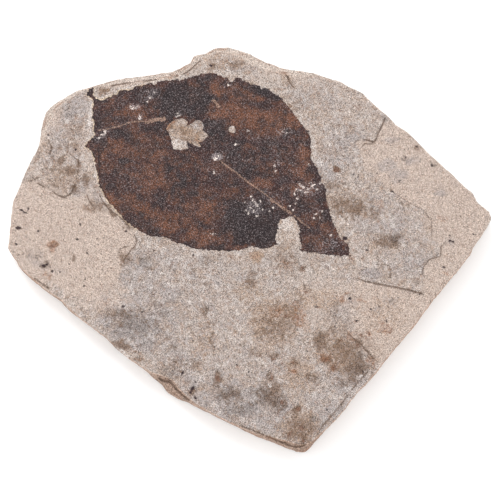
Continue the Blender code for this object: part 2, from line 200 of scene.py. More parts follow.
# The leaf's edge, clockwise from the broken leaf stalk at its upper left
LEAF_OUTLINE = (
    (-55.0, 56.0), (-53.5, 56.3), (-53.6, 54.0), (-52.8, 52.6), (-51.0, 52.1), (-49.4, 52.5), (-46.5, 53.7),
    (-45.4, 54.0), (-44.9, 55.1), (-44.0, 55.5), (-40.6, 55.5), (-39.6, 56.5), (-37.6, 56.9), (-35.0, 57.9),
    (-33.8, 58.0), (-32.5, 57.5), (-31.5, 58.3), (-28.7, 59.0), (-26.7, 58.9), (-25.3, 59.4), (-24.3, 58.8),
    (-21.2, 59.8), (-18.8, 60.6), (-17.0, 61.3), (-14.0, 61.7), (-11.6, 61.2), (-8.6, 60.1), (-7.2, 59.4),
    (-6.4, 58.5), (-4.8, 59.6), (-4.0, 59.9), (-2.7, 59.4), (-0.3, 58.0), (3.4, 56.9), (5.5, 56.2),
    (7.9, 54.6), (10.6, 52.8), (12.9, 49.8), (14.6, 47.7), (17.0, 44.2), (18.0, 42.8), (19.7, 41.0),
    (20.4, 39.3), (20.7, 37.5), (20.3, 35.4), (21.0, 33.7), (20.6, 31.6), (21.3, 29.8), (22.6, 28.1),
    (23.9, 23.9), (25.2, 21.7), (25.6, 19.5), (25.5, 17.0), (26.8, 13.0), (28.1, 8.8), (29.1, 6.5),
    (30.1, 4.4), (32.0, 2.4), (33.0, 1.4), (33.0, -0.4), (33.6, -2.0), (28.3, -2.0), (24.0, -1.4),
    (19.3, -0.7), (16.3, 0.0), (17.3, 1.2), (17.0, 2.6), (16.4, 5.4), (16.7, 7.5), (15.7, 9.9),
    (14.6, 11.3), (12.7, 11.2), (11.6, 10.5), (10.0, 10.0), (9.4, 9.0), (9.4, 7.5), (8.5, 4.6),
    (8.3, 3.4), (9.3, 2.0), (8.0, 1.8), (6.7, 0.5), (4.0, 0.6), (0.7, 1.2), (-1.0, 0.7),
    (-4.0, -0.2), (-10.0, -0.2), (-17.3, 0.3), (-20.0, 1.0), (-22.7, 2.0), (-24.2, 2.1), (-28.0, 4.1),
    (-29.7, 4.5), (-32.7, 4.6), (-35.0, 5.4), (-38.0, 7.1), (-40.8, 9.2), (-43.5, 11.9), (-46.0, 14.6),
    (-47.7, 16.4), (-49.4, 19.8), (-50.5, 21.5), (-51.2, 24.6), (-52.0, 28.8), (-53.4, 33.7), (-54.1, 34.7),
    (-55.5, 35.2), (-55.8, 36.0), (-54.9, 37.2), (-53.6, 38.4), (-52.6, 39.6), (-53.1, 41.0), (-53.0, 44.2),
    (-53.6, 45.9), (-53.5, 49.8), (-53.3, 51.4), (-53.9, 52.6), (-54.9, 53.0), (-55.6, 53.8), (-55.3, 54.9),
)

# The midrib's course from the leaf's left edge to its tip
MIDRIB = (
    (-52.0, 41.0), (-49.2, 41.4), (-43.5, 42.9), (-37.4, 44.4), (-34.0, 44.6), (-28.9, 45.6), (-24.0, 43.5),
    (-17.0, 37.0), (-11.2, 31.6), (-5.1, 26.7), (1.7, 21.5), (8.4, 16.4), (14.4, 12.3), (19.4, 7.8),
    (24.0, 4.2), (31.5, -0.6),
)

# Where the film has flaked off the bedding face, where the camera sees it: the large patch and the small one
BARE_PATCH = (
    (165.8, 129.1), (167.6, 126), (171.6, 121.6), (175.1, 119.3), (178, 119.5), (182.7, 118), (185, 119.5),
    (188, 122), (186.7, 124.7), (189.3, 124.7), (192.9, 122.9), (195.6, 120.2), (199.1, 120), (202, 121.8),
    (203.6, 124.2), (204, 126.4), (201.8, 130), (205, 132), (208.4, 135.3), (206.2, 137.6), (203.6, 140.7),
    (199.1, 142.9), (201.3, 147.3), (198.5, 147), (195.6, 145.6), (189.3, 142.9), (186.7, 140.2),
    (187.1, 143.8), (188.4, 148.7), (184.5, 149.1), (181.3, 149.9), (173.3, 149.6), (171.1, 139.3),
    (170.7, 137.1), (168.9, 133.1),
)
BARE_SPOT = (
    (228.6, 129.5), (229.6, 127), (232, 125.7), (234.8, 126.8), (235.8, 130), (234.4, 132.7),
    (231.6, 133.2), (229.4, 131.7),
)

# Where the upper bed has broken away: outline, depth at the plan's middle, and how much deeper it gets for
# each millimetre along X and along Y
FLAKES = {
    "west_flake": (
        (
            (-84.0, 23.0), (-76.0, 23.6), (-72.0, 25.0), (-70.0, 22.5), (-66.5, 20.0), (-64.0, 18.5),
            (-61.5, 18.0), (-60.0, 19.5), (-59.0, 22.2), (-58.0, 23.2), (-56.5, 20.0), (-53.7, 16.0),
            (-51.0, 13.6), (-47.5, 14.0), (-45.5, 12.1), (-43.4, 10.4), (-41.1, 8.2), (-38.8, 6.0),
            (-37.7, 3.0), (-38.4, 1.4), (-39.7, 0.3), (-41.0, -2.0), (-42.6, -4.0), (-45.0, -21.0),
            (-58.0, -29.0), (-84.0, -8.0),
        ),
        0.38, 0.0, 0.019,
    ),
    "east_flake": (
        (
            (52.0, 52.0), (46.4, 47.5), (46.2, 46.0), (45.2, 43.8), (43.8, 40.7), (42.7, 38.2),
            (42.0, 37.2), (39.6, 37.9), (37.3, 38.2), (36.0, 36.8), (37.2, 34.4), (38.2, 29.0),
            (42.0, 24.6), (48.0, 20.5), (51.0, 17.7), (55.7, 15.0), (58.3, 13.6), (61.0, 9.5), (61.0, 3.4),
            (63.3, 1.4), (63.6, -2.0), (60.0, -3.0), (58.0, -5.4), (57.2, -8.4), (57.6, -11.8),
            (56.6, -14.8), (64.0, -21.0), (88.0, 4.0), (86.0, 22.0),
        ),
        0.1, 0.007, 0.001,
    ),
    "south_east_flake": (
        (
            (59.5, -13.6), (56.6, -14.8), (53.0, -13.5), (46.4, -12.1), (42.4, -11.5), (38.0, -10.4),
            (30.0, -9.5), (23.0, -12.0), (24.0, -22.0), (32.0, -27.5), (37.0, -32.4), (41.3, -37.3),
            (46.0, -42.0), (64.0, -22.0), (66.0, -14.0),
        ),
        -0.5, 0.019, 0.0,
    ),
}

# Cracks, step edges and stained lines of the stone, where the camera sees them, in two sets so that no two
# lines of a set run close together; drawn dark, they are stain in the cracks and lines and painted shade at
# the foot of the steps. Each is its half width in millimetres and its course.
CRACKS = {
    "crack_a": (
        (0.1, ((26, 181), (32, 180), (37, 177.5), (41, 177))),
        (0.2, ((49, 189), (55, 193), (60, 196), (65, 197), (70, 194), (73, 190), (74, 185), (77, 182))),
        (0.15, (
            (98, 190), (101, 198), (104, 203), (108, 208), (113, 212), (120, 217), (126, 223), (133, 230),
        )),
        (0.17, ((387, 114), (383, 123), (379, 132), (376, 139), (374, 142), (367, 140), (359, 138.5))),
        (0.22, (
            (430, 296), (420, 293), (410, 290), (400, 288), (390, 286), (378, 284), (365, 281), (350, 276),
        )),
        (0.16, ((345, 330), (355, 340), (361, 344), (365, 349), (371, 355), (376, 362))),
        (0.3, ((106, 87), (125, 83), (140, 80), (150, 79), (164, 78))),
        (0.26, ((172, 76), (185, 73), (190, 70), (197, 63), (204, 59))),
        (0.2, ((283, 70), (287, 76), (290, 83), (295, 89))),
        (0.3, ((153, 376), (163, 380), (170, 382), (178, 391), (186, 398), (193, 402))),
        (0.07, ((392, 189), (402, 198), (410, 203), (416, 206), (424, 210), (432, 222), (432, 244))),
        (0.26, ((32, 277), (37, 280), (44, 285), (51, 290))),
        (0.22, ((236, 424), (260, 433), (284, 443), (295, 447), (303, 446), (311, 442))),
    ),
    "crack_b": (
        (0.16, ((35, 182), (40, 184), (46, 188))),
        (0.2, ((133, 231), (137, 241), (135, 246), (131, 249), (127, 256), (121, 263))),
        (0.14, ((376, 141), (370, 144), (365, 143), (361, 148))),
        (0.18, ((353, 144), (357, 140.5), (361, 140))),
        (0.12, ((448, 239), (441, 247), (441, 256), (430, 259), (424, 266), (422, 273), (426, 279))),
        (0.1, ((373, 265), (381, 264), (386, 265), (389, 266), (391, 271), (390, 277), (385, 279))),
        (0.15, (
            (376, 363), (368, 371), (360, 380), (350, 392), (343, 402), (335, 412), (322, 427), (314, 438),
        )),
        (0.13, ((67, 150), (71, 155), (78, 160), (79, 166), (77, 175), (76, 181))),
        (0.1, ((48, 139), (52, 148), (49, 156))),
        (0.1, ((86, 192), (88, 198), (91, 204), (95, 209))),
        (0.16, ((303, 282), (305, 287), (304, 291))),
        (0.2, ((118, 250), (124, 247), (131, 246))),
    ),
}

# Soft stains of the stone, and among the chalk marks painted highlights, where the camera sees them:
# middle, half width, half height, turn in degrees, strength
STAINS = {
    "fresh": (
        (45, 225, 60, 45, 0, 1.0), (75, 275, 62, 24, -32, 1.0), (52, 255, 44, 26, -20, 0.9),
        (455, 215, 42, 42, 0, 0.85), (430, 170, 60, 18, -47, 0.9), (385, 320, 48, 30, 50, 0.5),
        (340, 295, 45, 20, 0, 0.55), (55, 112, 9, 26, -8, 0.8), (45, 125, 6, 30, -10, 0.8),
        (260, 62, 55, 7, -19, 0.8), (200, 62, 14, 5, 35, 0.6), (130, 82, 45, 5, 10, 0.7),
        (86, 135, 9, 45, 0, 0.35), (105, 290, 10, 12, 0, 0.7), (325, 315, 30, 20, 0, 0.4),
        (300, 80, 50, 10, -18, 0.5), (440, 285, 20, 16, 0, 0.8), (60, 215, 60, 30, 0, 1.0),
    ),
    "grey": (
        (74, 118, 34, 28, 20, 0.75), (66, 152, 22, 22, 0, 0.4), (88, 195, 20, 13, -30, 0.8),
        (77, 191, 8, 6, 0, 0.9), (372, 273, 11, 6, 0, 0.8), (198, 125, 9, 7, 0, 0.8),
        (190, 272, 74, 26, -3, 0.45), (145, 264, 24, 18, 0, 0.7), (150, 300, 48, 30, -30, 0.6),
        (137, 324, 40, 26, -20, 1.0), (215, 335, 62, 45, -10, 0.3), (240, 402, 54, 26, -20, 0.85),
        (180, 370, 34, 18, -38, 0.6), (268, 408, 42, 22, -18, 0.95), (302, 428, 26, 18, 0, 0.8),
        (345, 382, 32, 22, 45, 0.6), (236, 64, 24, 9, -10, 0.7), (312, 96, 36, 20, -20, 0.45),
        (345, 135, 30, 18, -40, 0.55), (330, 165, 25, 30, -60, 0.5), (378, 218, 45, 28, -20, 0.5),
        (425, 238, 28, 24, 0, 0.5), (408, 262, 28, 18, 0, 0.5), (28, 259, 18, 10, -30, 0.9),
        (330, 405, 24, 30, 40, 0.55), (290, 380, 60, 40, 0, 0.35),
    ),
    "cloud": (
        (388, 166, 12, 8, 0, 0.8), (399, 174, 10, 6, 0, 0.8), (441, 193, 7, 5, 0, 0.7),
        (393, 140, 8, 5, 0, 0.7), (398, 182, 7, 4, 0, 0.6), (413, 160, 8, 5, 30, 0.7),
        (386, 117, 6, 6, 0, 0.6), (77, 191, 8, 6, 0, 0.9), (100, 202, 12, 6, -40, 0.7),
        (372, 273, 12, 6, 0, 0.7), (352, 303, 10, 6, 0, 0.5), (391, 302, 8, 6, 0, 0.6),
        (340, 310, 14, 8, 0, 0.6), (378, 310, 6, 5, 0, 0.5), (57, 271, 10, 6, 0, 0.4),
        (90, 232, 10, 5, 0, 0.3), (36, 262, 12, 6, -30, 0.5), (106, 296, 10, 8, 0, 0.5),
        (450, 240, 8, 6, 0, 0.4), (455, 210, 6, 5, 0, 0.3),
    ),
    "brown": (
        (300, 430, 18, 16, 0, 0.65), (350, 352, 28, 24, -45, 0.65), (173, 127, 4, 6, -20, 0.8),
        (183, 131, 9, 3, -36, 0.6), (192, 138, 7, 3, -36, 0.6), (187, 141, 2, 3, 0, 1.0),
        (198, 124, 6, 5, 0, 0.35), (187, 133, 24, 16, 0, 0.35), (61, 161, 3.5, 6, -30, 1.0),
        (67, 169, 4.5, 4, -30, 1.0), (72, 173, 5, 4, 0, 1.0), (78, 163, 4, 6, 0, 0.8),
        (86.5, 179, 5, 6, 0, 1.0), (74, 189, 4, 5, 30, 0.8), (54, 245, 6, 4, 0, 0.6),
        (51, 249, 2.5, 4, 0, 0.6), (45, 265, 5, 4, 0, 0.7), (73.5, 257, 2, 4, 0, 0.5),
        (105, 205, 8, 2.2, -42, 1.0), (112, 213, 6, 2.2, -38, 1.0), (62, 176, 19, 20, 0, 0.45),
        (52, 165, 12, 14, 0, 0.4), (86, 181, 7, 8, 0, 0.75), (75, 172, 6, 5, 0, 0.6),
        (50, 149, 5, 10, 0, 0.45), (72, 128, 14, 12, 0, 0.35), (68, 146, 12, 8, 0, 0.4),
        (88, 208, 8, 5, -20, 0.55), (124, 258, 7, 9, 20, 0.8), (127, 225, 4, 6, 45, 0.6),
        (122, 346, 11, 6, -20, 1.0), (139, 359, 6, 4, 0, 0.7), (118, 314, 16, 8, 0, 0.5),
        (204, 310, 4, 9, 15, 0.7), (209, 324, 3.5, 7, 15, 0.6), (212.5, 341, 3.5, 13, 0, 0.65),
        (218, 378, 5, 7, 20, 1.0), (216, 385, 5, 4, 0, 0.8), (193, 363, 8, 6, 0, 0.5),
        (192, 391, 4, 6, -25, 0.9), (178, 366, 16, 6, 0, 0.4), (276, 325, 22, 22, 40, 0.5),
        (290, 312, 12, 14, 0, 0.55), (299, 300, 7, 12, 0, 0.4), (320, 341, 9, 10, 0, 0.95),
        (336, 336, 16, 14, 0, 0.5), (334, 366, 7, 6, 0, 0.7), (345, 345, 8, 11, 45, 0.6),
        (358, 366, 10, 13, 0, 0.9), (352, 378, 8, 6, 0, 0.7), (344, 384, 9, 5, 0, 0.6),
        (372, 358, 7, 9, 0, 0.6), (272, 397, 18, 10, -30, 0.7), (284, 403, 5, 6, 0, 0.9),
        (271, 376, 6, 8, 0, 0.6), (256, 352, 7, 6, 0, 0.55), (273, 356, 6, 6, 0, 0.6),
        (298, 409, 4.2, 4.2, 0, 1.7), (336.6, 169.8, 3.6, 3.4, 0, 2.0), (301, 428, 6, 10, 0, 0.7),
        (250, 281, 5, 6, 0, 0.7), (303, 441, 4, 5, 0, 0.9), (289, 435, 4, 8, -30, 0.7),
        (288, 264, 10, 9, 0, 0.65), (302, 268, 5, 5, 0, 0.6), (334, 311, 9, 9, 0, 0.45),
        (314, 378, 11, 5, -15, 0.5), (347, 207, 24, 12, -10, 0.75), (333, 187, 9, 8, 0, 0.55),
        (326, 360, 8, 5, -10, 0.9), (353, 371, 9, 8, 0, 0.9), (294, 363, 5, 5, 0, 0.7),
        (271, 388, 12, 6, -10, 0.8), (310, 377, 8, 4, -10, 0.5), (374, 212, 8, 8, 0, 0.55),
        (388, 241, 17, 8, 0, 0.8), (417, 147, 3, 5, -20, 0.7), (370, 186, 3, 2, 0, 0.7),
        (392, 191, 3, 2, 0, 0.7), (394, 240, 6, 4, 0, 0.7), (286, 260, 15, 20, 0, 0.45),
        (252, 279, 6, 13, -20, 0.5), (212, 66, 4, 3, 0, 0.9), (234, 65, 7, 5, 0, 0.6),
        (248, 84, 8, 6, 0, 0.4), (289, 80, 4, 11, 25, 0.45), (104, 91, 6, 6, 0, 0.7),
        (300, 105, 14, 12, 0, 0.3), (232, 395, 14, 9, 0, 0.55), (305, 60, 10, 10, 0, 0.2),
        (97, 205, 8, 5, -30, 0.5), (36, 152, 6, 10, 0, 0.3),
    ),
    "tan": (
        (187, 134, 26, 20, 0, 0.45), (190, 134, 19, 5, -36, 0.75), (385, 315, 30, 24, 50, 0.4),
        (176, 128, 7, 5, -20, 0.7), (200, 142, 7, 4, -40, 0.8), (181, 135, 9, 5, 0, 0.6),
        (198, 134, 5, 4, 0, 0.7), (170, 127, 4, 3, 0, 0.8), (190, 120, 3, 5, 0, 0.5),
        (287, 238, 8, 12, 0, 0.4), (279, 222, 4, 5, 0, 0.6), (296, 226, 4, 8, 0, 0.5),
        (105, 92, 8, 6, 0, 0.6), (285, 248, 10, 3, 0, 0.5), (256, 256, 7, 7, 0, 1.0),
        (275, 320, 32, 30, 0, 0.55), (335, 352, 30, 24, -45, 0.55), (318, 300, 34, 14, 0, 0.5),
        (297, 376, 24, 22, 0, 0.5), (250, 292, 14, 22, 0, 0.45), (300, 428, 24, 20, 0, 0.6),
        (205, 340, 16, 30, 0, 0.4), (225, 62, 30, 10, -8, 0.5), (320, 115, 22, 18, 0, 0.35),
        (352, 205, 26, 18, 0, 0.45), (66, 176, 22, 22, 0, 0.45), (130, 87, 26, 4, 12, 0.3),
        (288, 84, 10, 14, 25, 0.4), (320, 178, 6, 10, 25, 0.4), (97, 205, 10, 6, -30, 0.4),
    ),
    "rust": (
        (168, 127, 4, 6, 0, 1.0), (172, 123, 5, 3, 30, 0.9), (200, 141, 7, 2, -40, 0.7),
        (300, 318, 10, 16, 20, 0.6), (275, 312, 8, 8, 0, 0.5), (54, 245, 7, 4.5, 0, 0.8),
        (52, 250, 3, 4, 0, 0.8), (47, 274, 5, 4, 0, 0.5), (326, 358, 9, 4, -15, 0.6),
        (387, 330, 7, 6, 0, 0.6), (371, 361, 5, 6, 0, 0.5), (294, 371, 4, 3, 0, 1.0),
        (343, 300, 3.5, 4, 0, 1.0), (347.5, 294, 3.5, 2, 0, 0.9), (360, 300, 7, 3, 0, 0.5),
        (256, 256, 5, 5, 0, 0.5), (440, 218, 5, 6, 0, 0.4), (444, 272, 4, 3, 0, 0.5),
        (380, 206, 6, 8, 0, 0.4), (343, 299, 7, 6, 0, 0.5), (296, 312, 6, 10, 0, 0.5),
        (352, 336, 5, 9, 40, 0.5), (368, 334, 5, 4, 0, 0.6), (285, 265, 9, 12, 0, 0.3),
        (108, 301, 8, 8, 0, 0.3), (333, 367, 6, 5, 0, 0.6), (88, 207, 6, 5, 0, 0.5),
        (383, 323, 5, 5, 0, 0.5), (141, 358, 4, 4, 0, 0.5),
    ),
    "soot": (
        (135, 325, 30, 16, -15, 0.75), (120, 314, 9, 6, 0, 0.7), (165, 313, 8, 7, 0, 0.6),
        (118, 333, 9, 5, 0, 0.6), (147, 344, 9, 6, 0, 0.6), (168, 373, 12, 6, -20, 0.6),
        (228, 394, 14, 8, 0, 0.7), (268, 400, 24, 12, -25, 0.6), (246, 409, 14, 8, 0, 0.7),
        (235, 412, 12, 6, 0, 0.6), (313, 419, 6, 4, 0, 0.8), (303, 440, 5, 5, 0, 0.4),
        (391, 301.5, 3.5, 2.5, 0, 0.8), (338, 303, 3, 3.5, 0, 0.7), (349.5, 298, 3, 3, 0, 0.7),
        (360, 355, 6, 5, 0, 0.7), (357, 369, 10, 9, 0, 0.55), (320, 338, 6, 8, 0, 0.5),
        (345, 383, 8, 4, 0, 0.6), (396, 239, 7, 5, 0, 0.8), (145, 263, 9, 7, 0, 0.7),
        (205, 264, 6, 5, 0, 0.5), (238, 63, 8, 6, 0, 0.5), (147.5, 262, 8, 7, 0, 0.6),
        (173, 268, 4, 4, 0, 0.6), (193, 269, 5, 5, 0, 0.5), (205, 260, 8, 7, 0, 0.5),
        (181, 294, 6, 5, 0, 0.5), (157, 304, 4, 4, 0, 0.6), (164, 312, 5, 4, 0, 0.7),
        (171.5, 301, 3, 3, 0, 0.6), (193, 282.5, 3.5, 3, 0, 0.5), (208, 285, 3, 4, 0, 0.5),
        (123, 312, 5, 4, 0, 0.7), (142, 310, 4, 4, 0, 0.6), (106.5, 310, 4, 4, 0, 0.5),
        (151.5, 328, 11, 7, 0, 0.5), (120, 275, 4, 3, 0, 0.5), (147.5, 344, 4, 3, 0, 0.7),
        (172.5, 347.5, 5, 4, 0, 0.7), (177.5, 370, 4, 4, 0, 0.6), (198, 372, 4, 3, 0, 0.6),
        (385, 117, 3, 4, 0, 0.5), (393, 142, 4, 3, 0, 0.7), (405, 158, 4, 3, 0, 0.8),
        (433, 165, 4, 3, 0, 0.8), (354, 174, 4, 3, 0, 0.6), (339, 153, 3, 3, 0, 0.7),
        (345, 150, 2.5, 2.5, 0, 0.6), (340, 140, 4, 4, 0, 0.5), (372, 202, 3, 2, 0, 0.5),
        (68, 110, 14, 7, 0, 0.5), (302, 252, 8, 6, 0, 0.3), (33, 256, 14, 8, 0, 0.5),
        (45, 265, 7, 5, 0, 0.8), (275, 325, 20, 16, 0, 0.35), (156, 302, 6, 7, 0, 0.5),
        (173, 349, 9, 5, 0, 0.5), (330, 320, 16, 10, 0, 0.4), (282, 402, 6, 9, 0, 0.5),
        (298, 409, 5, 5, 0, 0.3), (312, 378, 10, 5, 0, 0.5), (358, 205, 14, 10, 0, 0.3),
    ),
    # Chalky places, and painted highlights on the lit rims along the leaf's western and upper edge and beside
    # some cracks
    "chalk": (
        (179, 144, 11, 7, 0, 0.55), (198, 125, 6, 5, 0, 0.2), (232, 129, 4, 4, 0, 0.4),
        (91, 116, 3, 22, 0, 0.7), (96, 170, 2.5, 9, 8, 0.8), (105, 96, 13, 4, 12, 0.5),
        (104, 201, 3, 10, 40, 0.4), (288, 224, 7, 6, 0, 0.5), (281, 240, 4, 6, 0, 0.4),
        (363, 376, 3, 2, 0, 1.0), (270, 385, 2.5, 2, 0, 0.9), (345, 217, 7, 12, 30, 0.35),
        (122, 353, 11, 2.5, -42, 0.6), (150, 245, 22, 5, -20, 0.35), (318, 158, 7, 12, 25, 0.4),
        (63, 306, 6, 3, -35, 0.5), (340, 225, 6, 12, 30, 0.35), (128, 87, 26, 2.5, 12, 0.5),
        (355, 393, 4, 7, -45, 0.5), (72, 192, 4, 8, 0, 0.3),
    ),
}

# Small crisp dark specks of plant matter and manganese: middle, half width, half height, turn in degrees
SPECKS = (
    (18, 227.5, 3.0, 1.6, 0), (21.5, 210, 2.4, 1.0, -30), (25, 212.3, 2.4, 0.9, -10),
    (28, 208, 0.8, 2.6, -10), (38, 231, 1.4, 1.1, 30), (16, 244, 1.5, 1.0, -40), (80, 224, 0.9, 1.8, 20),
    (77, 239, 1.8, 0.9, -20), (97, 238.5, 1.0, 0.9, 0), (61.5, 206, 0.9, 0.9, 0),
    (43.5, 265.7, 2.0, 1.3, -20), (46.6, 264.2, 1.7, 1.0, 20), (69, 264, 0.9, 0.9, 0),
    (52, 271, 1.3, 1.5, 0), (60, 272, 0.9, 0.9, 0), (87, 253, 1.0, 1.3, 30), (85, 279, 0.9, 1.1, 0),
    (84, 286, 1.5, 0.9, 0), (123, 306.5, 1.6, 1.5, 0), (178.5, 306.3, 1.0, 0.9, 0), (193, 341, 1.0, 0.9, 0),
    (182.5, 373, 1.2, 2.4, -25), (195, 382, 1.2, 1.2, 0), (192.5, 388.5, 1.7, 2.6, -30),
    (190.5, 392.5, 1.4, 1.3, 0), (195.5, 398, 1.3, 2.2, 20), (249, 372, 1.1, 1.2, 0),
    (302.5, 379.5, 0.9, 0.9, 0), (307, 351, 1.1, 0.9, 0), (237, 365, 1.1, 1.4, 30), (350, 299, 1.1, 1.1, 0),
    (316, 307, 1.8, 0.8, 0), (345, 238.3, 2.5, 2.1, -20), (450, 240.5, 1.6, 1.3, 0),
    (453.3, 241.3, 1.4, 1.1, 0), (450, 235, 1.0, 0.9, 0), (444, 267, 1.7, 0.9, -10),
    (392, 191.5, 1.7, 1.0, -20), (377, 173, 0.9, 1.0, 0), (400, 180, 1.0, 0.9, 0), (432, 165, 1.1, 1.7, 30),
    (354, 174, 1.3, 0.9, -20), (358, 177, 1.0, 0.9, 0), (417, 146, 1.1, 1.1, 0), (405, 149, 0.9, 0.9, 0),
    (406, 157, 0.9, 1.2, 0), (367, 250, 1.5, 1.0, 0), (75.5, 149.5, 1.3, 1.2, 0), (48, 135, 1.0, 1.0, 0),
    (474, 234, 0.9, 0.9, 0), (211, 65.5, 1.6, 1.4, 0), (193, 255, 1.2, 1.2, 0), (131, 222, 1.2, 1.2, 0),
    (126, 231, 1.4, 1.1, 0), (154, 250.5, 1.1, 0.9, 0), (170, 380.5, 1.0, 1.4, 40), (327, 410, 1.2, 1.0, 0),
    (420, 294, 1.0, 1.0, 0), (142, 312, 1.2, 0.9, 0), (371, 309, 1.4, 1.1, 0), (349.8, 298.2, 1.5, 1.3, 0),
    (386.7, 321, 1.0, 1.5, 0), (379.7, 306.8, 1.2, 1.0, 0), (335, 327, 1.0, 1.0, 0),
    (363, 371.5, 1.0, 1.5, 30), (356.6, 320.6, 1.9, 0.9, 20),
)

# Crisp rusty specks and short strokes of iron oxide, listed as the dark ones are
FLECKS = (
    (305.8, 292, 2.0, 1.9, 0), (336.6, 169.8, 3.1, 2.9, 0), (302, 268, 1.3, 2.2, 10),
    (356, 321, 2.8, 1.2, 20), (285.9, 316, 2.2, 1.3, 0), (297, 318, 2.5, 1.5, 20),
    (317.3, 307.3, 2.4, 0.9, 0), (361.4, 335, 1.3, 1.2, 0), (366, 337.5, 1.7, 1.1, -20),
    (369.5, 334.3, 1.3, 1.5, 0), (367, 333.3, 1.1, 1.0, 0), (371.5, 338, 1.3, 1.0, 0),
    (383, 322.5, 1.7, 1.0, 30), (387.5, 325, 2.1, 1.0, -30), (391, 328, 1.5, 1.0, -40),
    (385.5, 328.5, 1.6, 1.0, -20), (389.5, 332, 1.9, 1.0, 0), (326, 359.5, 3.4, 1.3, -15),
    (323, 361.5, 2.0, 1.1, 0), (334, 367.3, 2.4, 1.4, 0), (294, 371.5, 2.0, 1.2, 0),
    (292.5, 362.5, 1.8, 1.4, 0), (273, 359, 2.4, 1.3, 0), (259.5, 356.5, 2.0, 1.2, 0),
    (282, 363.5, 1.3, 1.9, 0), (272, 377.5, 1.8, 2.6, 0), (340.5, 340.5, 1.8, 1.2, 0),
    (357.5, 345, 1.8, 1.2, 20), (327, 267.5, 2.6, 1.0, -35), (351, 258.5, 3.4, 1.0, -40),
    (277.3, 269.3, 1.3, 1.1, 0), (303.5, 441, 2.0, 1.6, 0), (298, 409, 2.5, 2.3, 0),
    (301.5, 428, 2.0, 3.2, 15), (289.5, 434, 1.5, 3.4, -35), (342.8, 300, 1.6, 2.1, 0),
    (347.6, 293.7, 1.8, 0.9, 20), (217.5, 379, 2.2, 3.4, 20), (53, 246, 2.6, 1.6, 0),
    (282, 402, 2.0, 2.6, 0),
)

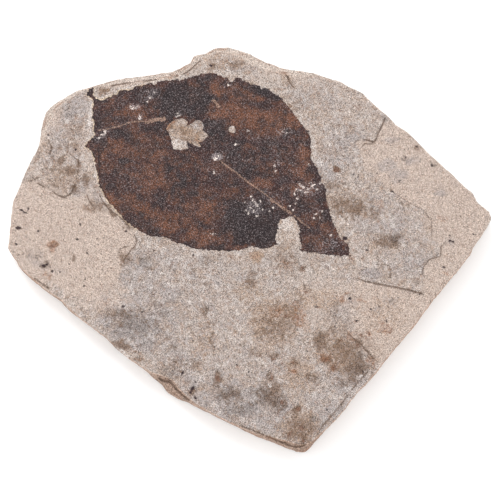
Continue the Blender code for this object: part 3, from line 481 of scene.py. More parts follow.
# Tones of the leaf film where the camera sees them
FILM_TONES = {
    "rust": (
        (258, 120, 46, 17, -8, 0.95), (192, 88, 10, 6, 0, 0.95), (217, 91, 11, 8, 0, 0.85),
        (243, 97, 22, 12, -10, 0.8), (292, 122, 12, 14, -40, 0.85), (193, 98, 5, 7, 0, 0.7),
        (225, 112, 18, 12, 0, 0.8), (130, 113, 17, 9, 0, 0.7), (160, 90, 8, 7, 0, 0.4),
        (105, 108, 14, 8, 0, 0.3), (112, 146, 17, 9, 10, 0.6), (150, 150, 26, 18, -20, 0.6),
        (158, 175, 20, 16, -30, 0.75), (135, 205, 20, 10, -35, 0.7), (165, 220, 28, 10, -18, 0.9),
        (200, 236, 20, 10, -10, 0.8), (210, 213, 14, 16, 0, 0.75), (185, 200, 24, 12, -20, 0.55),
        (262, 182, 12, 12, 0, 0.5), (272, 175, 8, 6, 0, 0.6), (303, 155, 10, 18, 0, 0.7),
        (300, 172, 12, 6, 0, 0.6), (235, 190, 6, 4, 0, 0.7), (232, 236, 9, 8, 0, 0.6),
        (250, 247, 20, 4, 0, 0.5), (312, 240, 16, 10, 0, 0.45), (125, 170, 18, 14, 0, 0.4),
        (180, 160, 10, 10, -40, 0.5), (197, 75, 20, 5, 12, 0.35), (250, 150, 12, 8, 0, 0.4),
        (293, 190, 6, 8, 0, 0.6), (278, 205, 14, 5, -35, 0.5), (232, 200, 12, 6, 0, 0.3),
        (98, 155, 6, 9, 0, 0.7), (113, 201, 12, 4, -52, 0.8), (157, 219, 20, 5, -38, 0.9),
        (303, 190, 11, 8, 0, 0.9), (322, 225, 14, 8, -50, 0.4),
    ),
    "black": (
        (252, 225, 32, 26, 0, 1.0), (236, 214, 14, 16, 0, 0.9), (186, 101, 34, 18, 5, 0.9),
        (266, 236, 14, 10, 0, 0.9), (190, 104, 24, 14, 0, 0.9), (176, 90, 16, 9, 8, 0.9),
        (206, 84, 10, 8, 0, 0.5), (215, 128, 14, 10, -20, 0.8), (230, 152, 22, 12, -20, 0.6),
        (150, 93, 16, 8, 5, 0.7), (140, 98, 18, 7, 0, 0.5), (262, 90, 16, 7, -28, 0.9),
        (276, 95, 9, 6, -30, 0.9), (270, 148, 16, 10, 0, 0.5), (290, 132, 9, 5, 0, 0.7),
        (262, 200, 14, 10, -30, 0.6), (320, 232, 18, 16, -50, 0.25), (302, 205, 14, 8, -30, 0.5),
        (320, 197, 8, 10, -50, 0.4), (120, 185, 20, 14, 0, 0.25), (140, 214, 6, 4, -30, 0.7),
        (171, 169, 6, 5, 0, 0.8), (183, 184, 7, 6, 0, 0.8), (124, 161, 8, 4, -10, 0.7),
        (118, 134, 13, 6, 15, 0.45), (99, 141, 9, 5, 20, 0.7), (180, 195, 14, 8, 0, 0.5),
        (192, 194, 10, 4, 0, 0.7), (165, 130, 18, 8, 0, 0.5), (150, 128, 12, 5, 0, 0.5),
        (245, 170, 20, 10, -30, 0.5), (96, 125, 6, 9, 0, 0.5), (145, 228, 22, 6, -22, 0.35),
        (340, 248, 10, 6, -20, 0.4), (175, 182, 14, 10, 0, 0.5), (217, 247, 10, 5, 0, 0.6),
        (102, 100, 10, 4, 0, 0.5), (235, 141, 12, 5, 0, 0.5), (90, 92, 4, 6, 0, 0.6),
    ),
    # Light grains of stone on the film, and painted sheen in its blue-grey patches
    "dusting": (
        (150, 94, 10, 8, 0, 0.8), (134, 107, 7, 5, 0, 1.0), (140, 117, 4, 4, 0, 1.0),
        (155, 91, 5, 4, 0, 0.9), (275, 150, 8, 16, 0, 0.55), (254, 207, 10, 10, 0, 1.0),
        (270, 197, 16, 10, -30, 0.6), (307, 190, 14, 10, 0, 0.9), (217, 157, 7, 5, 0, 1.6),
        (285, 132, 12, 7, 0, 0.7), (104, 134, 7, 6, 0, 0.7), (99, 139, 5, 4, 0, 0.8),
        (215, 172, 12, 10, 0, 0.45), (180, 113, 22, 6, 0, 0.4), (262, 140, 14, 5, 0, 0.5),
        (250, 132, 10, 5, 0, 0.4), (318, 190, 8, 12, -40, 0.6), (315, 212, 12, 8, 0, 0.4),
        (285, 185, 10, 12, 0, 0.3), (228, 86, 8, 5, 0, 0.5), (122, 103, 9, 6, 0, 0.5),
        (182, 98, 20, 8, 0, 0.25), (240, 160, 24, 14, -20, 0.35), (120, 125, 10, 5, 0, 0.4),
        (277, 163, 5, 6, 0, 0.8), (226, 214, 7, 6, 0, 0.4), (328, 245, 20, 10, 20, 0.75),
        (296, 158, 12, 26, 0, 0.4), (135, 182, 26, 16, 0, 0.35), (330, 238, 18, 12, -50, 0.4),
        (215, 120, 8, 8, 0, 0.4),
    ),
}

# Crisp pale places of the film, where a little of the stone shows: middle, half width, half height, turn
FILM_CHIPS = (
    (215, 158.7, 2.3, 1.5, -30), (219, 155.6, 1.6, 0.9, 30), (178.5, 115.5, 2.6, 0.9, 20),
    (105, 132, 1.3, 2.2, 0), (103, 135, 2.0, 0.9, 0), (99, 137.5, 1.2, 1.0, 0),
    (235.5, 144.5, 1.6, 0.9, 15), (262, 88, 1.4, 0.9, 0), (313, 185.5, 2.4, 1.0, 35),
    (303, 187, 2.6, 1.1, -20), (299.5, 184.5, 1.4, 0.9, -40), (308.5, 189.5, 2.2, 0.8, 15),
    (306, 192.5, 1.6, 0.7, 0), (296.5, 190, 1.5, 1.1, -30), (294.5, 194.5, 1.1, 1.5, 0),
    (301, 190.5, 1.2, 0.8, 0), (317, 189.5, 1.6, 0.8, 30), (320.5, 183, 0.9, 1.5, -25),
    (310, 183, 1.0, 0.7, 0), (297.5, 198.5, 1.3, 0.9, 0), (296, 203, 1.2, 0.9, 0),
    (253, 200.5, 0.8, 2.0, 25), (255.5, 203.5, 0.7, 1.8, 20), (257.5, 206, 0.8, 1.2, 0),
    (251, 196.5, 0.9, 1.3, 0), (246, 211, 1.4, 0.8, 0), (248.5, 213.5, 0.9, 1.3, 0),
    (254, 211, 0.8, 1.5, 15), (257, 216, 1.2, 0.9, 0), (245, 202, 0.9, 0.9, 0), (260.5, 201, 0.8, 1.1, 0),
    (262.5, 209.5, 0.9, 1.0, 0), (250.5, 207.5, 1.1, 0.7, -30), (273, 207.5, 1.0, 0.8, 0),
    (269.5, 211, 0.8, 0.9, 0), (140, 118, 1.2, 2.2, 0), (133.5, 108, 2.2, 1.0, 0),
    (130.5, 106.5, 0.9, 0.9, 0), (137.5, 106, 0.9, 1.1, 0), (154.5, 92.5, 0.9, 0.9, 0),
    (150.5, 98, 1.4, 0.8, 0), (147.5, 101.5, 0.9, 0.8, 0), (275.5, 171, 0.8, 1.5, 0),
    (274.5, 165.5, 0.8, 1.1, 0), (283, 131.5, 1.1, 0.8, 0), (280.5, 134, 0.9, 0.9, 0),
    (286.5, 133, 0.8, 0.7, 0), (214, 172.5, 0.9, 1.1, 0), (228, 85, 1.1, 0.8, 0), (248, 131, 1.2, 0.8, 0),
    (213, 234, 1.7, 0.7, 0), (290, 206, 1.2, 0.9, 0), (293, 210, 1.3, 0.8, -30), (178, 113.5, 1.3, 0.8, 0),
    (331, 235, 1.0, 1.1, 0), (316, 214, 1.3, 0.7, 30), (320, 217, 1.1, 0.7, 30), (314, 218.5, 0.8, 0.9, 0),
    (322, 211, 0.8, 1.0, 0), (309, 165, 1.3, 0.8, -30),
)

# Stretches of the midrib and of one side vein where the film has worn off and the stone shows: half width in
# millimetres, and the course
PALE_VEINS = (
    (0.171, ((94, 131), (105, 130), (122, 125.5), (130, 122.5), (140, 121.5), (148, 121))),
    (0.665, ((143, 122.5), (148, 121.5), (153, 120.5), (158, 119.5), (163, 119.3), (167, 117.8))),
    (0.2185, (
        (214, 155), (225, 165), (235, 172), (245, 180), (255, 187), (265, 194), (275, 202), (285, 209),
        (293, 214), (300, 221), (308, 227), (316, 233),
    )),
    (0.495, ((212, 99), (216, 103), (220, 108))),
    (0.27, ((268, 199), (276, 203), (286, 211), (294, 215))),
)

# Dark creases of the film: their courses, and their half width
CREASES = (
    ((98.5, 143), (98.8, 152), (99.2, 164), (99.8, 176)),
    ((186.5, 143), (190, 146), (194, 148)),
)
CREASE_HALF_WIDTH = 0.12

# The side veins' courses, from the midrib out to the edge, which stand a little above the film
SIDE_VEINS = (
    ((150, 120), (170, 110), (200, 102), (232, 101), (262, 106)),
    ((172, 117), (195, 113), (235, 114), (270, 119), (298, 127)),
    ((202, 140), (222, 138), (245, 136), (277, 137), (308, 143)),
    ((222, 162), (238, 156), (258, 152), (285, 153), (309, 159)),
    ((240, 176), (250, 170), (258, 168), (275, 167), (315, 170)),
    ((262, 192), (274, 188), (292, 186), (322, 190)),
    ((284, 208), (298, 203), (312, 203), (326, 208)),
    ((140, 121), (136, 150), (140, 182), (150, 212), (160, 236)),
    ((166, 120), (168, 150), (176, 185), (190, 218), (205, 248)),
    ((198, 141), (202, 168), (212, 200), (226, 230), (238, 249)),
    ((225, 165), (232, 188), (243, 214), (258, 240)),
    ((250, 184), (256, 202), (266, 224), (276, 240)),
    ((112, 128), (104, 150), (106, 176), (114, 198)),
    ((99, 143), (98, 152), (99, 163), (102, 176)),
)
SIDE_VEIN_HALF_WIDTH = 0.35
SIDE_VEIN_HEIGHT = 0.05


def linear(code):
    """An sRGB hex colour as linear red, green and blue: the standard transfer curve undone."""
    parts = (int(code[place : place + 2], 16) / 255.0 for place in (1, 3, 5))
    return tuple(part / 12.92 if part <= 0.04045 else ((part + 0.055) / 1.055) ** 2.4 for part in parts)


def ease(value, low, high):
    """0 below low, 1 above high, and between them three times the square of the share less twice its
    cube."""
    share = np.clip((value - low) / (high - low), 0.0, 1.0)
    return share * share * (3.0 - 2.0 * share)


def scattered(column, row, seed):
    """A number from 0 to 1 for every lattice point: the mixed bits of products with large odd numbers."""
    mixed = (column * 374761393 + row * 668265263 + seed * 974634777) & 0xFFFFFFFF
    mixed = ((mixed ^ (mixed >> 13)) * 1274126177) & 0xFFFFFFFF
    return (mixed ^ (mixed >> 16)) / 0xFFFFFFFF


def ripple(x, y, length, seed):
    """Smooth noise of one wave length, about -1 to 1: at each lattice point a slope in a scattered
    direction, and between four of them their heights weighted by a quintic ease."""
    across = x / length
    along = y / length
    column = np.floor(across).astype(np.int64)
    row = np.floor(along).astype(np.int64)
    u = across - column
    v = along - row
    weight_u = u * u * u * (u * (u * 6.0 - 15.0) + 10.0)
    weight_v = v * v * v * (v * (v * 6.0 - 15.0) + 10.0)
    total = 0.0
    for right in (0, 1):
        for up in (0, 1):
            turn = 2.0 * math.pi * scattered(column + right, row + up, seed)
            height = np.cos(turn) * (u - right) + np.sin(turn) * (v - up)
            share_u = weight_u if right else 1.0 - weight_u
            share_v = weight_v if up else 1.0 - weight_v
            total = total + height * share_u * share_v
    return 1.5 * total


def rough(x, y, length, seed, octaves=3):
    """Ripples added up, each half as long and half as high as the one before."""
    return sum(ripple(x, y, length / 2**octave, seed + octave) / 2**octave for octave in range(octaves))


def from_picture(points):
    """Plan places of points of the upper face that the camera sees at these picture places: the line of
    sight through each is followed down to the face."""
    across, down = np.asarray(points, float).T[:2]
    focal = PICTURE_WIDTH * LENS / SENSOR
    tilt = math.radians(CAMERA_ELEVATION)
    rise = (PICTURE_WIDTH / 2 - down) / focal
    y = rise * CAMERA_DISTANCE / (math.sin(tilt) - rise * math.cos(tilt))
    x = (across - PICTURE_WIDTH / 2) / focal * (CAMERA_DISTANCE + y * math.cos(tilt))
    return np.stack([x, y], axis=1)


def line_distance(x, y, line):
    """Distance to a broken line, positive on its left, and the share of its length at the nearest place: the
    smallest over its straight pieces of the distance to the piece."""
    line = np.asarray(line, float)
    lengths = np.hypot(*np.diff(line, axis=0).T)
    reach = np.concatenate([[0.0], np.cumsum(lengths)]) / lengths.sum()
    best = np.full(x.shape, np.inf)
    signed = np.zeros(x.shape)
    share = np.zeros(x.shape)
    for (ax, ay), (bx, by), start, end in zip(line, line[1:], reach, reach[1:]):
        dx, dy = bx - ax, by - ay
        part = np.clip(((x - ax) * dx + (y - ay) * dy) / (dx * dx + dy * dy), 0.0, 1.0)
        ex, ey = x - ax - part * dx, y - ay - part * dy
        distance = np.hypot(ex, ey)
        nearer = distance < best
        best = np.where(nearer, distance, best)
        signed = np.where(nearer, np.where(dx * ey >= dy * ex, distance, -distance), signed)
        share = np.where(nearer, start + (end - start) * part, share)
    return signed, share


def inside_distance(x, y, outline):
    """Distance to a closed outline, positive inside it. The sign turns with each edge that a line to the
    right of the point crosses."""
    best = np.full(x.shape, np.inf)
    inside = np.zeros(x.shape, bool)
    corners = np.asarray(outline, float)[:, :2]
    for (ax, ay), (bx, by) in zip(corners, np.roll(corners, -1, axis=0)):
        dx, dy = bx - ax, by - ay
        part = np.clip(((x - ax) * dx + (y - ay) * dy) / (dx * dx + dy * dy), 0.0, 1.0)
        best = np.minimum(best, np.hypot(x - ax - part * dx, y - ay - part * dy))
        if ay != by:
            inside ^= ((ay > y) != (by > y)) & (x < ax + (y - ay) * dx / dy)
    return np.where(inside, best, -best)


def stained(x, y, marks):
    """Strength of soft marks: for each, its strength eased from its middle out to about one and a half times
    its ellipse, and the strongest of them."""
    strongest = np.zeros(x.shape)
    places = from_picture([mark[:2] for mark in marks])
    for (mx, my), (_, _, half_width, half_height, turn, strength) in zip(places, marks):
        cos, sin = math.cos(math.radians(turn)), math.sin(math.radians(turn))
        along = ((x - mx) * cos + (y - my) * sin) / (half_width * MARK_UNIT)
        across = ((y - my) * cos - (x - mx) * sin) / (half_height * MARK_UNIT)
        strongest = np.maximum(strongest, strength * ease(np.hypot(along, across), *STAIN_EDGE))
    return strongest


def speck_distance(x, y, specks):
    """Distance to the nearest speck's edge, negative inside: for each, its smaller radius times how far
    outside its unit ellipse the point is."""
    nearest = np.full(x.shape, FAR)
    places = from_picture([speck[:2] for speck in specks])
    for (mx, my), (_, _, half_width, half_height, turn) in zip(places, specks):
        cos, sin = math.cos(math.radians(turn)), math.sin(math.radians(turn))
        along = ((x - mx) * cos + (y - my) * sin) / (half_width * MARK_UNIT)
        across = ((y - my) * cos - (x - mx) * sin) / (half_height * MARK_UNIT)
        radius = min(half_width, half_height) * MARK_UNIT
        nearest = np.minimum(nearest, (np.hypot(along, across) - 1.0) * radius)
    return nearest


def cracked(x, y, cracks, end=CRACK_END, fade=CRACK_FADE):
    """Distance to the nearest crack or vein, positive on its left, and its half width there, which tapers to
    less than nothing at the line's ends and away from it."""
    nearest = np.full(x.shape, FAR)
    half = np.full(x.shape, -FADED)
    for half_width, course in cracks:
        signed, share = line_distance(x, y, from_picture(course))
        nearer = np.abs(signed) < np.abs(nearest)
        taper = ease(share, 0.0, end) * ease(share, 1.0, 1.0 - end) * ease(np.abs(signed), *fade)
        nearest = np.where(nearer, signed, nearest)
        half = np.where(nearer, (half_width + FADED) * taper - FADED, half)
    return nearest, half


def bedding_swell():
    """How far the gently wavy bedding stands above its mean height, as a function of plan places: two
    noises of long waves read on a table of places a millimetre apart, with straight lines between them."""
    columns, rows = (np.arange(*span, SWELL_TABLE_STEP) for span in SWELL_TABLE_SPANS)
    table = np.array([
        [
            sum(
                height * noise.noise(Vector((column / length, row / length, layer)))
                for height, length, layer in zip(SWELL_HEIGHTS, SWELL_LENGTHS, SWELL_LAYERS)
            )
            for row in rows
        ]
        for column in columns
    ])

    def swell(x, y):
        across = np.clip((x - columns[0]) / SWELL_TABLE_STEP, 0, len(columns) - 1.001)
        along = np.clip((y - rows[0]) / SWELL_TABLE_STEP, 0, len(rows) - 1.001)
        i, j = across.astype(int), along.astype(int)
        u, v = across - i, along - j
        near = table[i, j] * (1 - u) + table[i + 1, j] * u
        far = table[i, j + 1] * (1 - u) + table[i + 1, j + 1] * u
        return near * (1 - v) + far * v

    return swell


SWELL = bedding_swell()


def film_cover(x, y, raggedness=0.0):
    """Distance to the edge of the leaf film, positive where there is film. The outer edge is as ragged as
    asked for, and the edge round the bare places a third of that."""
    ragged = raggedness * rough(x, y, FILM_RAG_LENGTH, 21, 2)
    cover = inside_distance(x, y, LEAF_OUTLINE) + ragged
    for bare in (BARE_PATCH, BARE_SPOT):
        cover = np.minimum(cover, ragged / 3.0 - inside_distance(x, y, from_picture(bare)))
    return cover


def flaked_depth(x, y):
    """Depth to which the upper bed has broken away, and how much of it is gone, 0 to 1: in each flake's
    ragged outline its sloping floor, eased in over the width of the step, and the deepest of them."""
    ragged = STEP_RAGGEDNESS * rough(x, y, STEP_LENGTH, 11)
    deepest = np.zeros(x.shape)
    gone = np.zeros(x.shape)
    for outline, depth, along_x, along_y in FLAKES.values():
        inside = inside_distance(x, y, outline) + ragged
        within = ease(inside, -0.5 * STEP_WIDTH, 0.5 * STEP_WIDTH)
        floor = np.maximum(depth + along_x * x + along_y * y, 0.0)
        deepest = np.maximum(deepest, floor * within)
        gone = np.maximum(gone, within * ease(floor, 0.0, 0.25))
    return deepest, gone


def outward(points):
    """Unit normals at the corners of a clockwise closed outline, pointing away from its inside."""
    along = np.roll(points, -1, axis=0) - np.roll(points, 1, axis=0)
    along /= np.linalg.norm(along, axis=1, keepdims=True)
    return np.stack([-along[:, 1], along[:, 0]], axis=1)


def broken_outline():
    """The plate's outline with points every few millimetres, each pushed in or out as a break is."""
    fine = []
    for index, here in enumerate(PLATE_OUTLINE):
        after = PLATE_OUTLINE[(index + 1) % len(PLATE_OUTLINE)]
        pieces = max(1, round(math.dist(here[:2], after[:2]) / OUTLINE_STEP))
        for piece in range(pieces):
            share = piece / pieces
            fine.append([a + (b - a) * share for a, b in zip(here, after)])
    fine = np.array(fine)
    places = fine[:, :2] / OUTLINE_WAVE_LENGTH
    push = [OUTLINE_ROUGHNESS * noise.noise(Vector((x, y, 2.0))) for x, y in places]
    fine[:, :2] += outward(fine[:, :2]) * np.array(push)[:, None]
    return fine


def side_rings(outline):
    """Closed rings of corners from the foot of the plate to its top edge, stepping in and out bed by bed."""
    normals = outward(outline[:, :2])

    def wave(layer):
        places = outline[:, :2] / BED_WAVE_LENGTH
        return np.array([noise.noise(Vector((x, y, layer))) for x, y in places])

    def ring(bed, height, extra=0.0):
        rim, foot = outline[:, 2], outline[:, 3]
        inset = (rim + foot) * BED_SETBACKS[bed] - foot + extra
        inset = inset + BED_ROUGHNESS * (0.5 + 0.5 * wave(5.0 * bed))
        lift = np.zeros(len(outline))
        if LOWER_ARRIS_HEIGHT < height < PLATE_THICKNESS:
            nearest = min(BED_HEIGHTS, key=lambda level: abs(level - height))
            lift = BED_WANDER * wave(nearest)
        return np.column_stack([outline[:, :2] - normals * inset[:, None], height + lift])

    rings = [ring(0, 0.0, LOWER_ARRIS_INSET), ring(0, LOWER_ARRIS_HEIGHT)]
    for bed in range(1, len(BED_SETBACKS)):
        rings.append(ring(bed - 1, BED_HEIGHTS[bed] - LEDGE_SLOPE))
        rings.append(ring(bed, BED_HEIGHTS[bed] + LEDGE_SLOPE))
    rings.append(ring(len(BED_SETBACKS) - 1, PLATE_THICKNESS))
    return np.array(rings)


def side_rows(rings, outline):
    """The broken side as rows of points, foot first: the rings' corners joined by straight lines, read at
    even distances round each of the four sides, and rows between them up every bed. Two noises, drawn out
    along the bedding, push the rows in and out."""
    start = int(np.argmin(np.hypot(*(outline[:, :2] - GRID_CORNERS[0]).T)))
    outline = np.roll(outline, -start, axis=0)
    rings = np.roll(rings, -start, axis=1)
    closed = np.vstack([outline[:, :2], outline[:1, :2]])
    reach = np.concatenate([[0.0], np.cumsum(np.hypot(*np.diff(closed, axis=0).T))])
    corners = [int(np.argmin(np.hypot(*(outline[:, :2] - corner).T))) for corner in GRID_CORNERS]
    corners.append(len(outline))
    cells_u, cells_v = GRID_CELLS
    stations = np.concatenate([
        np.linspace(reach[a], reach[b], cells, endpoint=False)
        for a, b, cells in zip(corners, corners[1:], (cells_v, cells_u, cells_v, cells_u))
    ])
    rings = np.concatenate([rings, rings[:, :1]], axis=1)
    even = np.array([[np.interp(stations, reach, ring[:, axis]) for axis in range(3)] for ring in rings])
    even = even.transpose(0, 2, 1)
    levels = [0.0]
    for low in range(1, len(rings) - 1, 2):
        levels += [low + step / ROWS_UP_A_BED for step in range(ROWS_UP_A_BED)] + [low + 1.0]
    levels = np.array(levels)
    lower = np.minimum(levels.astype(int), len(rings) - 2)
    share = (levels - lower)[:, None, None]
    rows = even[lower] * (1 - share) + even[lower + 1] * share
    normals = outward(rows[1, :, :2])
    around = np.broadcast_to(stations, rows.shape[:2])
    push = rough(around, SIDE_FLATNESS * rows[:, :, 2], SIDE_LENGTH, 31) * SIDE_RELIEF
    push += rough(around, SIDE_GRAIN_FLATNESS * levels[:, None], SIDE_GRAIN_LENGTH, 37) * SIDE_GRAIN_RELIEF
    push[0] = 0.0
    rows[:, :, :2] += normals[None] * push[:, :, None]
    return rows


def smoothed(edge):
    """The edge with its wiggles taken out: each inner point moved again and again to the middle of its
    neighbours."""
    soft = edge.copy()
    for _ in range(EDGE_SMOOTHINGS):
        soft[1:-1] = 0.25 * soft[:-2] + 0.5 * soft[1:-1] + 0.25 * soft[2:]
    return soft


def stretched_grid(ring, cells_u, cells_v):
    """A grid of plan points stretched between four edges of a clockwise ring: the two ruled surfaces
    between opposite smoothed edges added up, less the one through the four corners. The edges' wiggles are
    added back and fade out over the first rows."""
    left = ring[: cells_v + 1]
    top = ring[cells_v : cells_v + cells_u + 1]
    right = ring[cells_v + cells_u : 2 * cells_v + cells_u + 1][::-1]
    bottom = np.vstack([ring[2 * cells_v + cells_u :], ring[:1]])[::-1]
    soft_left, soft_top, soft_right, soft_bottom = (smoothed(edge) for edge in (left, top, right, bottom))
    u = np.linspace(0, 1, cells_u + 1)[:, None, None]
    v = np.linspace(0, 1, cells_v + 1)[None, :, None]
    grid = (1 - u) * soft_left[None] + u * soft_right[None]
    grid = grid + (1 - v) * soft_bottom[:, None] + v * soft_top[:, None]
    grid = grid - (1 - u) * (1 - v) * left[0] - u * (1 - v) * right[0]
    grid = grid - (1 - u) * v * left[-1] - u * v * right[-1]
    fade_u = np.exp(-u * cells_u / EDGE_FADE_CELLS) * (1 - u)
    fade_v = np.exp(-v * cells_v / EDGE_FADE_CELLS) * (1 - v)
    far_u = fade_u[::-1]
    far_v = fade_v[:, ::-1]
    grid = grid + fade_u * (left - soft_left)[None] + far_u * (right - soft_right)[None]
    return grid + fade_v * (bottom - soft_bottom)[:, None] + far_v * (top - soft_top)[:, None]


def grid_quads(numbers):
    """The faces between the rows and columns of a grid of vertex numbers."""
    corners = (numbers[:-1, :-1], numbers[1:, :-1], numbers[1:, 1:], numbers[:-1, 1:])
    return np.stack(corners, axis=-1).reshape(-1, 4)


def rim_numbers(numbers):
    """The numbers round a grid's edge, clockwise from its first corner."""
    return np.concatenate([numbers[0, :-1], numbers[:-1, -1], numbers[-1, :0:-1], numbers[:0:-1, 0]])


def add_mesh(name, points, faces, fields, material):
    """A mesh object at the origin from plan points in millimetres, with one float attribute for each
    field."""
    placed = (points - (*PLAN_MIDDLE, 0.0)) * MM
    mesh = bpy.data.meshes.new(name)
    mesh.from_pydata(placed.tolist(), [], faces)
    for field, values in fields.items():
        attribute = mesh.attributes.new(field, "FLOAT", "POINT")
        attribute.data.foreach_set("value", values.astype(np.float32))
    mesh.polygons.foreach_set("use_smooth", np.ones(len(mesh.polygons), bool))
    mesh.set_sharp_from_angle(angle=math.radians(50.0))
    mesh.materials.append(material)
    mesh.update()
    piece = bpy.data.objects.new(name, mesh)
    bpy.context.scene.collection.objects.link(piece)
    return piece


def bedding_height(x, y, settings):
    """Height of the upper face over the plan: the mean height and the swell, less the flaked steps, the
    imprint under the film and the cracks, with the stone's own roughness. Where two sets of cracks meet,
    the deeper one holds."""
    flaked, _ = flaked_depth(x, y)
    imprint = IMPRINT_DEPTH * ease(film_cover(x, y), *IMPRINT_EDGE)
    groove = np.zeros(x.shape)
    for cracks in CRACKS.values():
        signed, half = cracked(x, y, cracks)
        wall = np.maximum(half, 0.01) + CRACK_GROOVE[0]
        groove = np.maximum(groove, CRACK_DEPTH * ease(np.abs(signed), wall, CRACK_GROOVE[1]))
    short, long = BEDDING_LENGTHS
    grain = settings.relief / MM * (rough(x, y, short, 3) + 0.5 * ripple(x, y, long, 9))
    return PLATE_THICKNESS + SWELL(x, y) - flaked - imprint - groove + grain


def marl_fields(x, y):
    """The stone's stains, specks and cracks at plan places, as one array for each. The stains wander a
    little off their ellipses, the flakes' floors are fresh stone too, and along the leaf's western edge
    lies a cream painted highlight."""
    wander_x = x + STAIN_WANDER * rough(x, y, STAIN_WANDER_LENGTH, 51)
    wander_y = y + STAIN_WANDER * rough(x, y, STAIN_WANDER_LENGTH, 57)
    fields = {name: stained(wander_x, wander_y, marks) for name, marks in STAINS.items()}
    _, gone = flaked_depth(x, y)
    fields["fresh"] = np.maximum(fields["fresh"], FLAKE_FRESHNESS * gone)
    # A cream painted highlight on the imprint's sloping rim west of the leaf
    fields["margin"] = ease(film_cover(x, y), *IMPRINT_HIGHLIGHT_EDGE) * ease(x, *IMPRINT_HIGHLIGHT_WEST)
    fields["speck"] = speck_distance(x, y, SPECKS)
    fields["fleck"] = speck_distance(x, y, FLECKS)
    for name, cracks in CRACKS.items():
        fields[name], fields[name + "_half"] = cracked(x, y, cracks)
    return fields


def build_slab_mesh(settings, material):
    """One closed mesh: the upper face as a stretched grid, the broken side as rows under its rim, and the
    underside as a grid half as fine."""
    outline = broken_outline()
    rows = side_rows(side_rings(outline), outline)
    cells_u, cells_v = GRID_CELLS

    top = stretched_grid(rows[-1, :, :2], cells_u, cells_v)
    x, y = top[..., 0].ravel(), top[..., 1].ravel()
    rim = rows[-1, ::RIM_SAMPLING, :2]
    wear = 1.0 - ease(inside_distance(x, y, rim), *RIM_WEAR_WIDTHS)
    wear = wear * (0.5 + 0.5 * rough(x, y, RIM_WEAR_LENGTH, 71))
    height = bedding_height(x, y, settings) - RIM_WEAR * wear
    top_points = np.column_stack([x, y, height])
    top_numbers = np.arange(len(x)).reshape(cells_u + 1, cells_v + 1)

    side = rows[1:-1]
    x, y, z = side.reshape(-1, 3).T
    flaked, _ = flaked_depth(x, y)
    lift = SWELL(x, y) * ease(z, BED_HEIGHTS[1], BED_HEIGHTS[-2])
    drop = (flaked + 0.5 * RIM_WEAR) * ease(z, *UPPER_BED)
    side_points = np.column_stack([x, y, z + lift - drop])
    side_numbers = len(top_points) + np.arange(len(x)).reshape(side.shape[:2])
    side_numbers = np.vstack([side_numbers, rim_numbers(top_numbers)])

    under = stretched_grid(rows[0, ::2, :2], cells_u // 2, cells_v // 2)
    x, y = under[..., 0].ravel(), under[..., 1].ravel()
    inset = ease(inside_distance(x, y, rows[0, ::RIM_SAMPLING, :2]), 0.0, UNDERSIDE_EDGE)
    long, short = UNDERSIDE_LENGTHS
    hollow = np.maximum(rough(x, y, long, 81), 0.0) + 0.3 * np.maximum(rough(x, y, short, 85), 0.0)
    under_points = np.column_stack([x, y, UNDERSIDE_RELIEF * inset * hollow])
    under_numbers = len(top_points) + len(side_points) + np.arange(len(x))
    under_numbers = under_numbers.reshape(cells_u // 2 + 1, cells_v // 2 + 1)

    foot = rim_numbers(under_numbers)
    low = side_numbers[0]
    joins = np.stack([foot, low[::2], low[1::2], np.roll(low[::2], -1), np.roll(foot, -1)], axis=1)
    looped = np.hstack([side_numbers, side_numbers[:, :1]])
    faces = grid_quads(top_numbers).tolist()
    faces += grid_quads(looped).tolist()
    faces += joins.tolist()
    faces += grid_quads(under_numbers)[:, ::-1].tolist()

    points = np.vstack([top_points, side_points, under_points])
    fields = marl_fields(points[:, 0], points[:, 1])
    fields["broken"] = np.concatenate([
        ease(inside_distance(top_points[:, 0], top_points[:, 1], rim), *RIM_BAND),
        np.ones(len(side_points)),
        np.zeros(len(under_points)),
    ])
    # Broken sides darker and browner towards the viewer: painted shade, as well as brown staining
    fields["dingy"] = fields["broken"] * ease(points[:, 1], *NEAR_SIDES_SHADE_REACH)
    return add_mesh("marl_slab", points, faces, fields, material)


